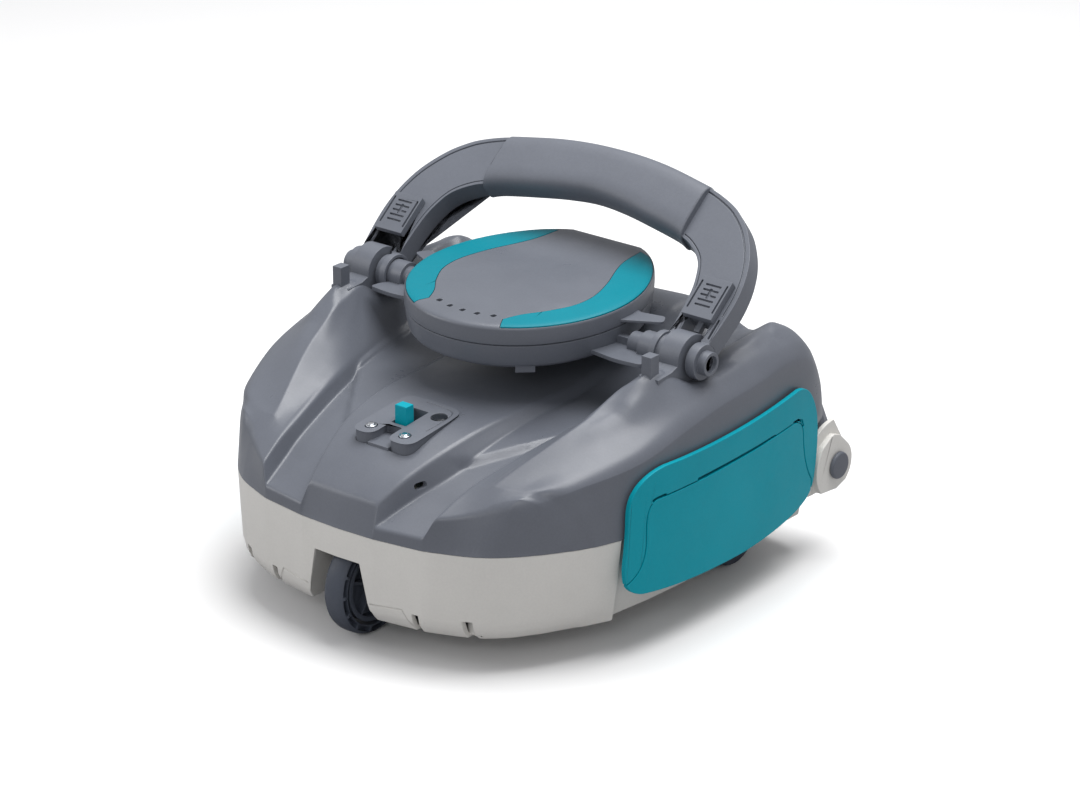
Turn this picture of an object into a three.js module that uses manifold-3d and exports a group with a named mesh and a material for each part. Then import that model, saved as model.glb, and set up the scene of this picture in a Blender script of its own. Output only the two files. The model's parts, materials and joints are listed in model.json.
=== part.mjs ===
// Robotic pool cleaner: a wheeled base, a shell that swings open on two rear pins,
// a carrying handle and a pod that share one axis, side latch panels and the pump inside.
// Millimetres. X is across (symmetry plane at 0), -Y is the front, +Z is up.
import * as THREE from 'three';
import { mergeGeometries, mergeVertices } from 'three/addons/utils/BufferGeometryUtils.js';
import Module from 'manifold-3d';

const wasm = await Module();
wasm.setup();

// ---------------------------------------------------------------- driving sizes
// Y and Z below are measured from the front face datum and from the wheel-to-seam datum;
// the root group moves the whole machine so that it stands on z = 0, centred in plan.
const CENTRE_Y = 146.5;
const GROUND_Z = -6.2;
const GAP = 0.3;
const WALL = 3;
const SEAM_Z = 70;
const BASE_BOTTOM_Z = 15;

const AXIS_Y = 167.4;
const AXIS_Z = 153.2;
const HANDLE_LEAN = 39;
const POST_X = 121;
const POST_WIDTH = 14.5;
const POST_RADIUS = 15.5;
const PIN_RADIUS = 4.4;
const PIN_BORE = 4.8;

const WHEEL_Y = 18.1;
const WHEEL_Z = 25.9;
const WHEEL_RADIUS = 32.1;
const WHEEL_WIDTH = 16;
const REAR_WHEEL_X = 108;
const REAR_WHEEL_Y = 232;
const REAR_WHEEL_RADIUS = 24;
const REAR_WHEEL_WIDTH = 14;
const REAR_WHEEL_Z = GROUND_Z + REAR_WHEEL_RADIUS;

const LID_PIN_Y = 291;
const LID_PIN_Z = 50;
const LID_PIN_RADIUS = 6;

const POD_Y = 170;
const POD_RADIUS = 77;
const POD_TOP_Z = 170;
const POD_BOTTOM_Z = 143;
const POD_LIFT = 8;

const FLAP_HINGE_X = 154.7;
const FLAP_TOP_Z = 91;

const PUMP_Z = 96;

// ---------------------------------------------------------------- materials
const plastic = (color, roughness, metalness = 0) =>
  new THREE.MeshStandardMaterial({ color, roughness, metalness });
const SLATE = plastic(0x6b6f77, 0.42);
const DARK_SLATE = plastic(0x5c6068, 0.5);
const TEAL = plastic(0x0095a5, 0.36);
const BASE_GREY = plastic(0xb0aeaa, 0.5);
const RUBBER = plastic(0x3a3e46, 0.78);
const STEEL = plastic(0xb8bcc0, 0.28, 0.95);
const BOARD_GREEN = plastic(0x1f6b45, 0.5);
const LENS = plastic(0x22262c, 0.15);
const CELL_BLUE = plastic(0x2f5f9e, 0.5);
const MESH_WHITE = plastic(0xd8dad8, 0.6);
const FOAM = plastic(0xe6e2d6, 0.9);

// ---------------------------------------------------------------- solid helpers
function toSolid(geometry) {
  let g = geometry.index ? geometry.toNonIndexed() : geometry;
  g = g.clone();
  g.deleteAttribute('normal');
  g.deleteAttribute('uv');
  g = mergeVertices(g, 1e-4);
  return new wasm.Manifold(new wasm.Mesh({
    numProp: 3,
    vertProperties: new Float32Array(g.attributes.position.array),
    triVerts: new Uint32Array(g.index.array),
  }));
}

function toGeometry(solid) {
  const m = solid.asOriginal().simplify(0.004).getMesh();
  const g = new THREE.BufferGeometry();
  g.setAttribute('position', new THREE.BufferAttribute(new Float32Array(m.vertProperties), 3));
  g.setIndex(new THREE.BufferAttribute(new Uint32Array(m.triVerts), 1));
  g.computeVertexNormals();
  return g;
}

const join = (first, ...rest) => rest.reduce((sum, next) => sum.add(next), first);
const cut = (first, ...rest) => rest.reduce((sum, next) => sum.subtract(next), first);
const mirror = (solid) => solid.scale([-1, 1, 1]);
const bothSides = (solid) => solid.add(mirror(solid));

function block(x0, x1, y0, y1, z0, z1) {
  const g = new THREE.BoxGeometry(x1 - x0, y1 - y0, z1 - z0);
  g.translate((x0 + x1) / 2, (y0 + y1) / 2, (z0 + z1) / 2);
  return toSolid(g);
}

function shapeOf(points) {
  return new THREE.Shape(points.map(([a, b]) => new THREE.Vector2(a, b)));
}

function roundRect(a0, a1, b0, b1, r) {
  const s = new THREE.Shape();
  s.moveTo(a0 + r, b0);
  s.lineTo(a1 - r, b0);
  s.absarc(a1 - r, b0 + r, r, -Math.PI / 2, 0);
  s.lineTo(a1, b1 - r);
  s.absarc(a1 - r, b1 - r, r, 0, Math.PI / 2);
  s.lineTo(a0 + r, b1);
  s.absarc(a0 + r, b1 - r, r, Math.PI / 2, Math.PI);
  s.lineTo(a0, b0 + r);
  s.absarc(a0 + r, b0 + r, r, Math.PI, Math.PI * 1.5);
  return s;
}

// A plan outline pushed up from z0 to z1.
function prismZ(shape, z0, z1, curveSegments = 6) {
  const g = new THREE.ExtrudeGeometry(shape, { depth: z1 - z0, bevelEnabled: false, curveSegments });
  g.translate(0, 0, z0);
  return toSolid(g);
}

// A side outline (first coordinate Y, second Z) pushed across from x0 to x1.
function prismX(shape, x0, x1, curveSegments = 6) {
  const g = new THREE.ExtrudeGeometry(shape, { depth: x1 - x0, bevelEnabled: false, curveSegments });
  g.rotateY(Math.PI / 2);
  g.rotateX(Math.PI / 2);
  g.translate(x0, 0, 0);
  return toSolid(g);
}

// A round bar along X, centred on (y, z).
function barX(radius, x0, x1, y, z, segments = 24) {
  const g = new THREE.CylinderGeometry(radius, radius, x1 - x0, segments);
  g.rotateZ(Math.PI / 2);
  g.translate((x0 + x1) / 2, y, z);
  return toSolid(g);
}

// A round bar along Y, centred on (x, z).
function barY(radius, y0, y1, x, z, segments = 24) {
  const g = new THREE.CylinderGeometry(radius, radius, y1 - y0, segments);
  g.translate(x, (y0 + y1) / 2, z);
  return toSolid(g);
}

// A round bar along Z, centred on (x, y).
function barZ(radius, z0, z1, x, y, segments = 24) {
  const g = new THREE.CylinderGeometry(radius, radius, z1 - z0, segments);
  g.rotateX(Math.PI / 2);
  g.translate(x, y, (z0 + z1) / 2);
  return toSolid(g);
}

// A solid of revolution about X; the profile lists [radius, x] and closes on the axis.
function turnedX(profile, y, z, segments = 40) {
  const g = new THREE.LatheGeometry(profile.map(([r, x]) => new THREE.Vector2(r, x)), segments);
  g.rotateZ(-Math.PI / 2);
  g.translate(0, y, z);
  return toSolid(g);
}

const root = new THREE.Group();
root.name = 'pool_cleaner';
root.position.set(0, -CENTRE_Y, -GROUND_Z);

function add(name, solid, material, parent = root) {
  const mesh = new THREE.Mesh(toGeometry(solid), material);
  mesh.name = name;
  parent.add(mesh);
  return mesh;
}

function addPair(name, solid, material, parent = root) {
  add(`${name}_right`, solid, material, parent);
  add(`${name}_left`, mirror(solid), material, parent);
}

// ---------------------------------------------------------------- upper shell
// The shell is drawn as feature lines that run from the front seam over the top to the
// rear seam. Each line has one point per station; stations are shared by every line.
const SHELL_LINES = [
  // deck centre
  [[0, -9.6, 70], [0, -2, 90], [0, 20, 101.5], [0, 48, 112.4], [0, 85, 119], [0, 125, 121],
    [0, 165, 122], [0, 205, 130], [0, 240, 146], [0, 266, 144], [0, 290, 112], [0, 299.5, 82]],
  // deck edge
  [[26.6, -8.6, 70], [26.6, -1.6, 90], [33, 20, 101], [39.5, 48, 111], [43.5, 85, 117.5],
    [45, 125, 119], [47, 165, 121], [50, 205, 133], [52, 240, 149], [52, 266, 146],
    [50, 289, 112], [50, 299, 82]],
  // groove floor, inner side
  [[28, -8.5, 70], [28.6, -7.6, 77], [37, 20, 87.5], [47, 47, 98], [50.5, 85, 107],
    [51.5, 125, 112.5], [54, 165, 117], [60, 205, 133], [64, 240, 148], [64, 266, 145],
    [62, 288.5, 112], [60, 298.5, 82]],
  // groove floor, outer side
  [[61, -3.4, 70], [61.4, -2.6, 77.4], [66, 20, 86.5], [69.5, 40, 95], [78, 85, 106.5],
    [86, 125, 112], [90, 165, 117], [88, 205, 131], [84, 240, 146], [83, 264, 143],
    [80, 289, 112], [76, 298.2, 82]],
  // groove outer wall, top edge
  [[66.5, -1.4, 70], [66.9, 1.7, 89.8], [69.6, 20, 98.5], [73, 42, 105.5], [82, 85, 115],
    [91, 125, 120], [97, 165, 124], [97, 205, 132], [96, 240, 141], [95, 262, 139],
    [91, 288.4, 112], [87, 297.8, 82]],
  // bowl
  [[76, 2.3, 70], [76.6, 8, 91.5], [78, 26, 101], [80.4, 42, 106.6], [91, 87, 121],
    [101, 128, 132], [106, 165, 136], [105, 205, 137], [105, 240, 139], [104, 262, 137],
    [99, 287.6, 112], [96, 297.4, 82]],
  // fender ridge
  [[86, 6.5, 70], [86.4, 15, 94], [87, 30, 104], [88, 39.6, 108.9], [105.6, 90, 132],
    [113, 140, 146.4], [116, 166, 140.6], [117, 205, 144.5], [116, 240, 143.5], [115, 263, 141],
    [112, 286, 114], [107, 296.8, 82]],
  // outer facet
  [[96, 12.4, 70], [97, 22, 98], [99, 32, 104.6], [103, 46, 110], [120, 94, 130],
    [126, 138, 141], [128, 166, 140.2], [128, 205, 144.5], [128, 240, 148.5], [128, 264, 145],
    [127, 287, 117], [122, 295.6, 82]],
  // shoulder crease
  [[109, 23.9, 70], [109.4, 29, 100.5], [115.6, 39, 104.4], [126, 53, 109.6],
    [143.4, 95, 118.5], [146.6, 138, 128], [147, 166, 132], [146.4, 205, 134.5],
    [144.6, 240, 137], [141.6, 267, 131], [138.6, 283.5, 111], [136, 290.4, 82]],
  // upper side wall
  [[121, 39, 70], [121, 40, 88], [126, 48, 94], [133, 61, 99], [145.4, 96, 106],
    [149, 138, 113], [149.6, 166, 116], [149.2, 205, 117], [147.2, 240, 116], [145.6, 262, 111],
    [143.4, 278, 97], [140.6, 286, 82]],
  // side seam
  [[128, 49.7, 70], [131, 54, 70], [134, 60, 70], [138.6, 70, 70], [146, 97, 70],
    [149.6, 138, 70], [150.2, 166, 70], [149.8, 205, 70], [147.6, 238, 72], [146.2, 256, 75],
    [144.9, 269, 78], [142.8, 279.5, 81]],
];
const ROW_STEPS = 2;
const LINE_STEPS = [1, 1, 1, 1, 2, 2, 2, 2, 1, 1];

function splinePoint(points, i, t) {
  const at = (k) => points[Math.min(Math.max(k, 0), points.length - 1)];
  const [a, b, c, d] = [at(i - 1), at(i), at(i + 1), at(i + 2)];
  return b.map((_, k) => 0.5 * (2 * b[k] + (c[k] - a[k]) * t
    + (2 * a[k] - 5 * b[k] + 4 * c[k] - d[k]) * t * t
    + (3 * b[k] - a[k] - 3 * c[k] + d[k]) * t * t * t));
}

// Rows of points from the centre line out to the side seam, one row per fine station.
function shellRows() {
  const rows = [];
  const stations = SHELL_LINES[0].length;
  for (let s = 0; s < stations - 1; s += 1) {
    const last = s === stations - 2;
    for (let k = 0; k < ROW_STEPS + (last ? 1 : 0); k += 1) {
      const across = SHELL_LINES.map((line) => splinePoint(line, s, k / ROW_STEPS));
      const row = [];
      LINE_STEPS.forEach((steps, i) => {
        for (let q = 0; q < steps; q += 1) row.push(splinePoint(across, i, q / steps));
      });
      row.push(across[across.length - 1]);
      rows.push([...row.slice(1).reverse().map(([x, y, z]) => [-x, y, z]), ...row]);
    }
  }
  return rows;
}

const seamZ = (y) => SEAM_Z + 12 * Math.max(0, (y - 205) / 95) ** 1.4;

// Closes a grid of top points with a floor that has the same plan positions.
function blockUnder(rows, floorOf) {
  const rowCount = rows.length;
  const width = rows[0].length;
  const positions = [...rows.flat(2)];
  rows.flat().forEach(([x, y, z]) => positions.push(x, y, floorOf(x, y, z)));
  const index = [];
  const top = (j, i) => j * width + i;
  const under = (j, i) => rowCount * width + j * width + i;
  const quad = (a, b, c, d) => index.push(a, b, c, a, c, d);
  for (let j = 0; j < rowCount - 1; j += 1) {
    for (let i = 0; i < width - 1; i += 1) {
      quad(top(j, i), top(j, i + 1), top(j + 1, i + 1), top(j + 1, i));
      quad(under(j, i), under(j + 1, i), under(j + 1, i + 1), under(j, i + 1));
    }
    quad(top(j, 0), top(j + 1, 0), under(j + 1, 0), under(j, 0));
    quad(top(j, width - 1), under(j, width - 1), under(j + 1, width - 1), top(j + 1, width - 1));
  }
  for (let i = 0; i < width - 1; i += 1) {
    quad(top(0, i), under(0, i), under(0, i + 1), top(0, i + 1));
    const j = rowCount - 1;
    quad(top(j, i), top(j, i + 1), under(j, i + 1), under(j, i));
  }
  const g = new THREE.BufferGeometry();
  g.setAttribute('position', new THREE.BufferAttribute(new Float32Array(positions), 3));
  g.setIndex(index);
  return toSolid(g);
}

// Moves every grid point in along the local surface normal.
function insetRows(rows, depth) {
  const point = (j, i) => new THREE.Vector3(...rows[j][i]);
  return rows.map((row, j) => row.map((_, i) => {
    const before = point(Math.max(j - 1, 0), i);
    const after = point(Math.min(j + 1, rows.length - 1), i);
    const left = point(j, Math.max(i - 1, 0));
    const right = point(j, Math.min(i + 1, row.length - 1));
    const normal = right.sub(left).cross(after.sub(before)).normalize();
    return point(j, i).addScaledVector(normal, -depth).toArray();
  }));
}

const shellTop = shellRows();
const raisedEdge = (rows) => rows.map((row) => row.map(([x, y, z]) => [x, y, Math.max(z, seamZ(y))]));
const shellBlock = blockUnder(raisedEdge(shellTop), (x, y) => seamZ(y) - 10);
const seamPlane = blockUnder(
  [-40, 60, 150, 205, 230, 255, 280, 300, 340].map((y) => [[-200, y, seamZ(y)], [200, y, seamZ(y)]]),
  () => 20,
);
const hollow = blockUnder(insetRows(shellTop, WALL), (x, y) => seamZ(y) - 30);
const shellFilled = shellBlock.subtract(seamPlane);

// Clearances in the shell for what passes through it.
const outletHole = barY(12.7, 270, 320, 0, PUMP_Z, 28);
const pinEar = join(
  prismX(shapeOf([[276, 88], [294, 88], [302, 54], [280, 52]]), 132, 142.2),
  barX(11.5, 132, 142.2, LID_PIN_Y, LID_PIN_Z, 28),
);
const earTrim = block(100, 160, 200, 330, 92, 130);
const ears = bothSides(cut(
  pinEar,
  barX(LID_PIN_RADIUS + GAP, 120, 160, LID_PIN_Y, LID_PIN_Z, 24),
  earTrim,
));
const ventSlot = bothSides(barX(3.2, 38, 52, 24, 95.5, 12));

// Moves each point of a closed outline outward (counter-clockwise outlines).
function offsetOutline(points, distance) {
  const n = points.length;
  return points.map(([a, b], i) => {
    const [pa, pb] = points[(i + n - 1) % n];
    const [na, nb] = points[(i + 1) % n];
    const into = new THREE.Vector2(a - pa, b - pb).normalize();
    const out = new THREE.Vector2(na - a, nb - b).normalize();
    const normal = new THREE.Vector2(into.y + out.y, -(into.x + out.x)).normalize();
    const stretch = 1 / Math.max(0.5, normal.dot(new THREE.Vector2(into.y, -into.x)));
    return [a + normal.x * distance * stretch, b + normal.y * distance * stretch];
  });
}

// ---------------------------------------------------------------- control pad
const PAD_OUTLINE = [
  [-17, 30], [-6, 28.6], [6, 28.6], [17, 30], [22, 34], [24, 41], [24, 66], [22.4, 74],
  [17.5, 79.5], [10, 82], [-10, 82], [-17.5, 79.5], [-20.5, 74], [-21, 66], [-21, 36], [-20, 32],
];
const padWindow = prismZ(shapeOf(offsetOutline(PAD_OUTLINE, GAP)), 80, 140);
const abovePad = block(-60, 60, -60, 60, 0, 60).rotate([6, 0, 0]).translate([0, 62, 118.3]);
const SLOT_Y = [48.5, 69.5];
const CONTACTS = [[-13.1, 39], [13.1, 39]];
const LENS_AT = [15, 68];
const pad = cut(
  prismZ(shapeOf(PAD_OUTLINE), 100, 130),
  abovePad,
  block(-5.6, 5.6, ...SLOT_Y, 90, 130),
  block(-4.6, 4.6, 20, 46, 108.5, 130),
  ...CONTACTS.map(([x, y]) => barZ(3.9, 90, 130, x, y, 20)),
  barZ(5.2, 115, 130, ...LENS_AT, 24),
);

// ---------------------------------------------------------------- upper shell cut-outs
let shell = cut(shellFilled, hollow, padWindow, outletHole, ventSlot);
shell = join(shell, ears);
add('upper_shell', shell, SLATE);
add('control_pad', pad, SLATE);
CONTACTS.forEach(([x, y], i) => {
  const stud = join(barZ(3.6, 101, 116.4, x, y, 20), barZ(2.2, 116.4, 117.2, x, y, 16));
  add(i ? 'charge_contact_right' : 'charge_contact_left', stud, STEEL);
});
add('status_lens', barZ(4.9, 115.3, 118.9, ...LENS_AT, 24), LENS);
add('power_switch', join(
  block(-5.2, 5.2, 50.4, 57.4, 99, 129.4),
  block(-9, 9, 49.4, 58.4, 95.6, 99.6),
), TEAL);

// ---------------------------------------------------------------- lower housing
// Plan outline of the seam, right half from the front centre to the rear centre.
function seamOutline() {
  const middle = (shellTop[0].length - 1) / 2;
  const front = shellTop[0].slice(middle);
  const side = shellTop.slice(1, -1).filter((_, j) => j % 2 === 0).map((row) => row[row.length - 1]);
  const rear = shellTop[shellTop.length - 1].slice(middle).reverse();
  return [...front, ...side, ...rear].map(([x, y]) => [x, y]);
}

const smooth = (t) => {
  const c = Math.min(Math.max(t, 0), 1);
  return c * c * (3 - 2 * c);
};

const FOOT_RADIUS = 5;
const FOOT_HEIGHT = 12;
const BUMPER_Y = [79.5, 82.5];
const SIDE_RECESS = 5;
const REAR_STEP_Y = [262, 264];
const REAR_CORNER_X = 129.6;

// The outline with extra points where the side wall steps in.
function baseOutline() {
  const marks = [...BUMPER_Y, ...REAR_STEP_Y];
  const points = [];
  const source = seamOutline();
  source.forEach(([x, y], i) => {
    points.push([x, y]);
    if (i === source.length - 1) return;
    const [nx, ny] = source[i + 1];
    marks.filter((m) => x > 100 && y < m && ny > m).forEach((m) => {
      points.push([x + (nx - x) * (m - y) / (ny - y), m]);
    });
  });
  return points;
}

function baseRing(z, extra) {
  const half = baseOutline();
  const drop = Math.min(Math.max((SEAM_Z - z) / (SEAM_Z - BASE_BOTTOM_Z), 0), 1) ** 1.3;
  const right = half.map(([x, y], i) => {
    const [px, py] = i ? half[i - 1] : [-half[1][0], half[1][1]];
    const [nx, ny] = i < half.length - 1 ? half[i + 1] : [-half[i - 1][0], half[i - 1][1]];
    const normal = new THREE.Vector2(ny - py, -(nx - px)).normalize();
    const stepped = x > 100 && y >= BUMPER_Y[1] - 0.01 && y < 268;
    const rearPull = y > 268 ? 2.6 : 0;
    const foot = FOOT_RADIUS * Math.max(0, 1 - (z - BASE_BOTTOM_Z) / FOOT_HEIGHT) ** 2
      * smooth((BUMPER_Y[0] - 2 - y) / 24);
    const lean = (1.6 + 9 * smooth(y / 110)) * drop + foot;
    const inset = lean + (stepped ? SIDE_RECESS : 0) + rearPull + extra;
    const moved = [x - normal.x * inset, y - normal.y * inset];
    if (x > 100 && y > REAR_STEP_Y[1] - 0.01) moved[0] = Math.min(moved[0], REAR_CORNER_X - extra);
    return [...moved, z];
  });
  const left = right.slice(1, -1).reverse().map(([x, y, zz]) => [-x, y, zz]);
  return [...right, ...left];
}

// Skins a stack of rings that have matching points; the flat ends fan out from a middle point.
const HUB_Y = 150;
function loft(rings) {
  const n = rings[0].length;
  const positions = rings.flat(2);
  const index = [];
  for (let k = 0; k < rings.length - 1; k += 1) {
    for (let i = 0; i < n; i += 1) {
      const j = (i + 1) % n;
      index.push(k * n + i, k * n + j, (k + 1) * n + j);
      index.push(k * n + i, (k + 1) * n + j, (k + 1) * n + i);
    }
  }
  const lastStart = (rings.length - 1) * n;
  const bottomHub = rings.length * n;
  const topHub = bottomHub + 1;
  positions.push(0, HUB_Y, rings[0][0][2], 0, HUB_Y, rings[rings.length - 1][0][2]);
  for (let i = 0; i < n; i += 1) {
    const j = (i + 1) % n;
    index.push(i, bottomHub, j);
    index.push(lastStart + i, lastStart + j, topHub);
  }
  const g = new THREE.BufferGeometry();
  g.setAttribute('position', new THREE.BufferAttribute(new Float32Array(positions), 3));
  g.setIndex(index);
  return toSolid(g);
}

const baseOuter = loft([15, 18, 22, 27, 45, 70, 95].map((z) => baseRing(z, 0)));
const baseInner = loft([18, 27, 45, 96].map((z) => baseRing(z, WALL)));
const insideWall = loft([16.5, 27, 45, 96].map((z) => baseRing(z, WALL / 2)));

// Front wheel arch: narrow at the top, wider at the bottom edge.
const arch = (half, spread, z0, z1) => shapeOf([
  [-half - spread, z0],
  [half + spread, z0],
  [half, z1],
  [-half, z1],
]);
function prismY(shape, y0, y1) {
  const g = new THREE.ExtrudeGeometry(shape, { depth: y1 - y0, bevelEnabled: false, curveSegments: 6 });
  g.rotateX(Math.PI / 2);
  g.translate(0, y1, 0);
  return toSolid(g);
}
const frontWell = prismY(arch(20, 8.6, BASE_BOTTOM_Z, 63.5), -12, 56.5).intersect(insideWall);
const frontWellHollow = join(
  prismY(arch(17.4, 9.4, 5, 61), -6, 54),
  prismY(arch(17.4, 9.4, 5, 51), -40, 20),
);
const axleBoss = bothSides(barX(6, 9.2, 24.6, WHEEL_Y, WHEEL_Z, 16));
const axleHole = barX(3.3, -23, 23, WHEEL_Y, WHEEL_Z, 16);

const rearWell = bothSides(block(REAR_WHEEL_X - 11.5, REAR_WHEEL_X + 11.5, 202.5, 261.5, 16.5, 47));
const rearWellHollow = bothSides(block(REAR_WHEEL_X - 9, REAR_WHEEL_X + 9, 205, 259, 5, 44.5));
const rearAxleHole = bothSides(
  barX(3.3, REAR_WHEEL_X - 12, REAR_WHEEL_X + 10.6, REAR_WHEEL_Y, REAR_WHEEL_Z, 16),
);

const MOUTH = [-66, 66, 116, 148];
const mouthRim = block(MOUTH[0] - 5, MOUTH[1] + 5, MOUTH[2] - 5, MOUTH[3] + 5, 8, 16.5);
const mouthHole = block(...MOUTH, 0, 30);
const notches = bothSides(join(
  block(53, 57.4, -20, 9, 5, 27),
  block(83, 88.6, -5, 30, 5, 27.5),
));
const WEB_RADIUS = 29.4;
const BOSS_REACH = 22;
const bracketWeb = prismX(shapeOf([
  [262, 36], [296, 34.6], [303, 46], [303, 60], [291, 80], [262, 80],
]), 142.8, 145.8).intersect(barX(WEB_RADIUS, 140, 150, LID_PIN_Y, LID_PIN_Z, 48));
const bossFace = new THREE.Shape();
bossFace.moveTo(269, 36);
bossFace.lineTo(LID_PIN_Y - 1, LID_PIN_Z - 16);
bossFace.absarc(LID_PIN_Y, LID_PIN_Z, 16, -Math.PI / 2, 0.9);
bossFace.lineTo(294, 69);
bossFace.lineTo(286, 72);
bossFace.lineTo(269, 62);
const bracket = join(
  bracketWeb,
  prismX(bossFace, 145, 149.4, 8).intersect(barX(BOSS_REACH, 140, 150, LID_PIN_Y, LID_PIN_Z, 40)),
  prismX(bossFace, 142.8, 146, 8),
  block(126, 145.8, 260, 273, 36, 62),
);
// Room for the shell's rear corner as it swings.
const swingClear = bothSides(cut(
  block(100, 150, 262, 320, 66, 100),
  barX(29.9, 90, 160, LID_PIN_Y, LID_PIN_Z, 48),
));
const bracketBore = barX(LID_PIN_RADIUS + GAP, 140, 160, LID_PIN_Y, LID_PIN_Z, 24);

const screwPlaces = [[100, 70], [96, 276]];
const screwHead = (x, y) => barZ(4.2, 10, 17.2, x, y, 16);
const screwHoles = bothSides(join(
  ...screwPlaces.map(([x, y]) => join(barZ(5, 10, 16.6, x, y, 14), barZ(2.4, 10, 30, x, y, 10))),
));
const screwBosses = bothSides(join(...screwPlaces.map(([x, y]) => barZ(6.5, 16.5, 24, x, y, 14))));

let base = cut(baseOuter, baseInner);
base = join(base, frontWell, rearWell, mouthRim, screwBosses);
base = cut(base, frontWellHollow, rearWellHollow, mouthHole, notches, screwHoles);
base = join(base, axleBoss);
base = cut(base, axleHole, rearAxleHole);
base = base.intersect(seamPlane.add(block(-200, 200, -60, 400, -40, 30)).translate([0, 0, -GAP]));
base = cut(base, swingClear);
base = join(base, bothSides(cut(bracket, bracketBore)));
add('lower_housing', base, BASE_GREY);

screwPlaces.forEach(([x, y], i) => {
  const head = screwHead(x, y).intersect(barZ(4.2, 11.2, 16.2, x, y, 16));
  const screw = cut(join(head, barZ(2, 16, 23, x, y, 12)),
    block(x - 3, x + 3, y - 0.6, y + 0.6, 10, 12.6));
  addPair(i ? 'rear_screw' : 'front_screw', screw, STEEL);
});

// ---------------------------------------------------------------- wheels
const half = WHEEL_WIDTH / 2;
const treadProfile = [
  [24, -half + 0.6], [29, -half], [WHEEL_RADIUS - 0.8, -half + 3], [WHEEL_RADIUS, 0],
  [WHEEL_RADIUS - 0.8, half - 3], [29, half], [24, half - 0.6], [24, -half + 0.6],
];
add('front_tyre', turnedX(treadProfile, WHEEL_Y, WHEEL_Z, 36), RUBBER);
const wheelDisc = (radius, y, z, width) => {
  const rim = cut(barX(radius, -width, width, y, z, 30), barX(radius - 3, -width - 1, width + 1, y, z, 30));
  const web = barX(radius - 2, -1.2, 1.2, y, z, 30);
  const hub = barX(6.4, -width, width, y, z, 16);
  const spokes = Array.from({ length: 5 }, (_, k) => block(-width + 1, width - 1, -0.9, 0.9, 5, radius - 2)
    .rotate([k * 72, 0, 0]).translate([0, y, z]));
  return cut(join(rim, web, hub, ...spokes), barX(3.3, -width - 2, width + 2, y, z, 16));
};
add('front_wheel_hub', wheelDisc(24 - GAP, WHEEL_Y, WHEEL_Z, half - 1), DARK_SLATE);
add('front_axle', barX(3, -22, 22, WHEEL_Y, WHEEL_Z, 20), STEEL);
const rearWheel = cut(
  join(
    barX(REAR_WHEEL_RADIUS, -7, 7, REAR_WHEEL_Y, REAR_WHEEL_Z, 32),
  ),
  barX(3.3, -10, 10, REAR_WHEEL_Y, REAR_WHEEL_Z, 20),
  ...[-1, 1].map((side) => cut(
    barX(18, side > 0 ? 2 : -9, side > 0 ? 9 : -2, REAR_WHEEL_Y, REAR_WHEEL_Z, 24),
    barX(6.4, -12, 12, REAR_WHEEL_Y, REAR_WHEEL_Z, 12),
  )),
).translate([REAR_WHEEL_X, 0, 0]);
addPair('rear_wheel', rearWheel, RUBBER);
const rearAxle = barX(3, REAR_WHEEL_X - 11.2, REAR_WHEEL_X + 10.4, REAR_WHEEL_Y, REAR_WHEEL_Z, 20);
addPair('rear_axle', rearAxle, STEEL);

// ---------------------------------------------------------------- suction side
const brush = cut(
  block(-68, 68, 156, 159, -4, 14.6),
  ...Array.from({ length: 9 }, (_, k) => block(-60.5 + k * 15, -59.5 + k * 15, 150, 165, -8, 6)),
);
add('floor_wiper', brush, RUBBER);
const basketTop = 60;
const basket = cut(
  block(-86, 86, 82, 202, 18.3, basketTop),
  block(-84, 84, 84, 200, 20.3, 70),
  block(-62, 62, 119.5, 146, 10, 30),
  ...[-3, -2, -1, 0, 1, 2, 3].map((k) => block(k * 23 - 9, k * 23 + 9, 70, 210, 30, 54)),
  ...[0, 1, 2].map((k) => block(-90, 90, 94 + k * 34, 120 + k * 34, 30, 54)),
);
add('filter_basket', basket, MESH_WHITE);
const flapPlate = join(
  block(-64, 64, 116.4, 149.5, 20.8, 22.3),
  barX(1.9, -64, 64, 116.4, 22.6, 12),
  block(-40, 40, 140, 142, 22, 25),
);
add('inlet_flap', flapPlate, DARK_SLATE);

// ---------------------------------------------------------------- pump deck, pump and power
const deckOutline = roundRect(-122, 122, 66, 258, 20);
const suctionPlace = [0, 180];
const ribs = bothSides(join(barZ(5, 64, 99, 104, 92, 16), barZ(5, 64, 99, 112, 230, 16)));
add('pump_deck', cut(
  join(prismZ(deckOutline, 62.6, 65.6), ribs),
  barZ(8, 50, 80, ...suctionPlace, 20),
), BASE_GREY);
add('pump_housing', cut(
  join(barY(22, 170, 190.2, 0, PUMP_Z, 28), barZ(9.8, 65.9, 80, ...suctionPlace, 20)),
  barY(19.6, 172.4, 187.8, 0, PUMP_Z, 28),
  barY(3, 160, 175, 0, PUMP_Z, 16),
  barY(9.6, 185, 195, 0, PUMP_Z, 20),
  barZ(7.8, 50, 80, ...suctionPlace, 20),
), DARK_SLATE);
add('pump_motor', cut(
  join(barY(17.6, 112, 169.6, 0, PUMP_Z, 32), barY(6, 108, 113, 0, PUMP_Z, 20)),
  barY(2.4, 140, 175, 0, PUMP_Z, 16),
), STEEL);
const blades = Array.from({ length: 5 }, (_, k) => block(-0.9, 0.9, 174.5, 185.5, 4, 18)
 .rotate([0, k * 72, 0]).translate([0, 0, PUMP_Z]));
add('impeller', join(
  barY(5.5, 174, 186, 0, PUMP_Z, 20),
  barY(2, 142, 175, 0, PUMP_Z, 16),
  ...blades,
), TEAL);
add('outlet_nozzle', cut(
  join(barY(12.2, 190.6, 303, 0, PUMP_Z, 28), barY(15.4, 300.6, 304, 0, PUMP_Z, 28)),
  barY(9.8, 180, 310, 0, PUMP_Z, 24),
), DARK_SLATE);
add('battery_pack', prismX(roundRect(112, 196, 66, 97, 4), -92, -30), CELL_BLUE);
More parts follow.
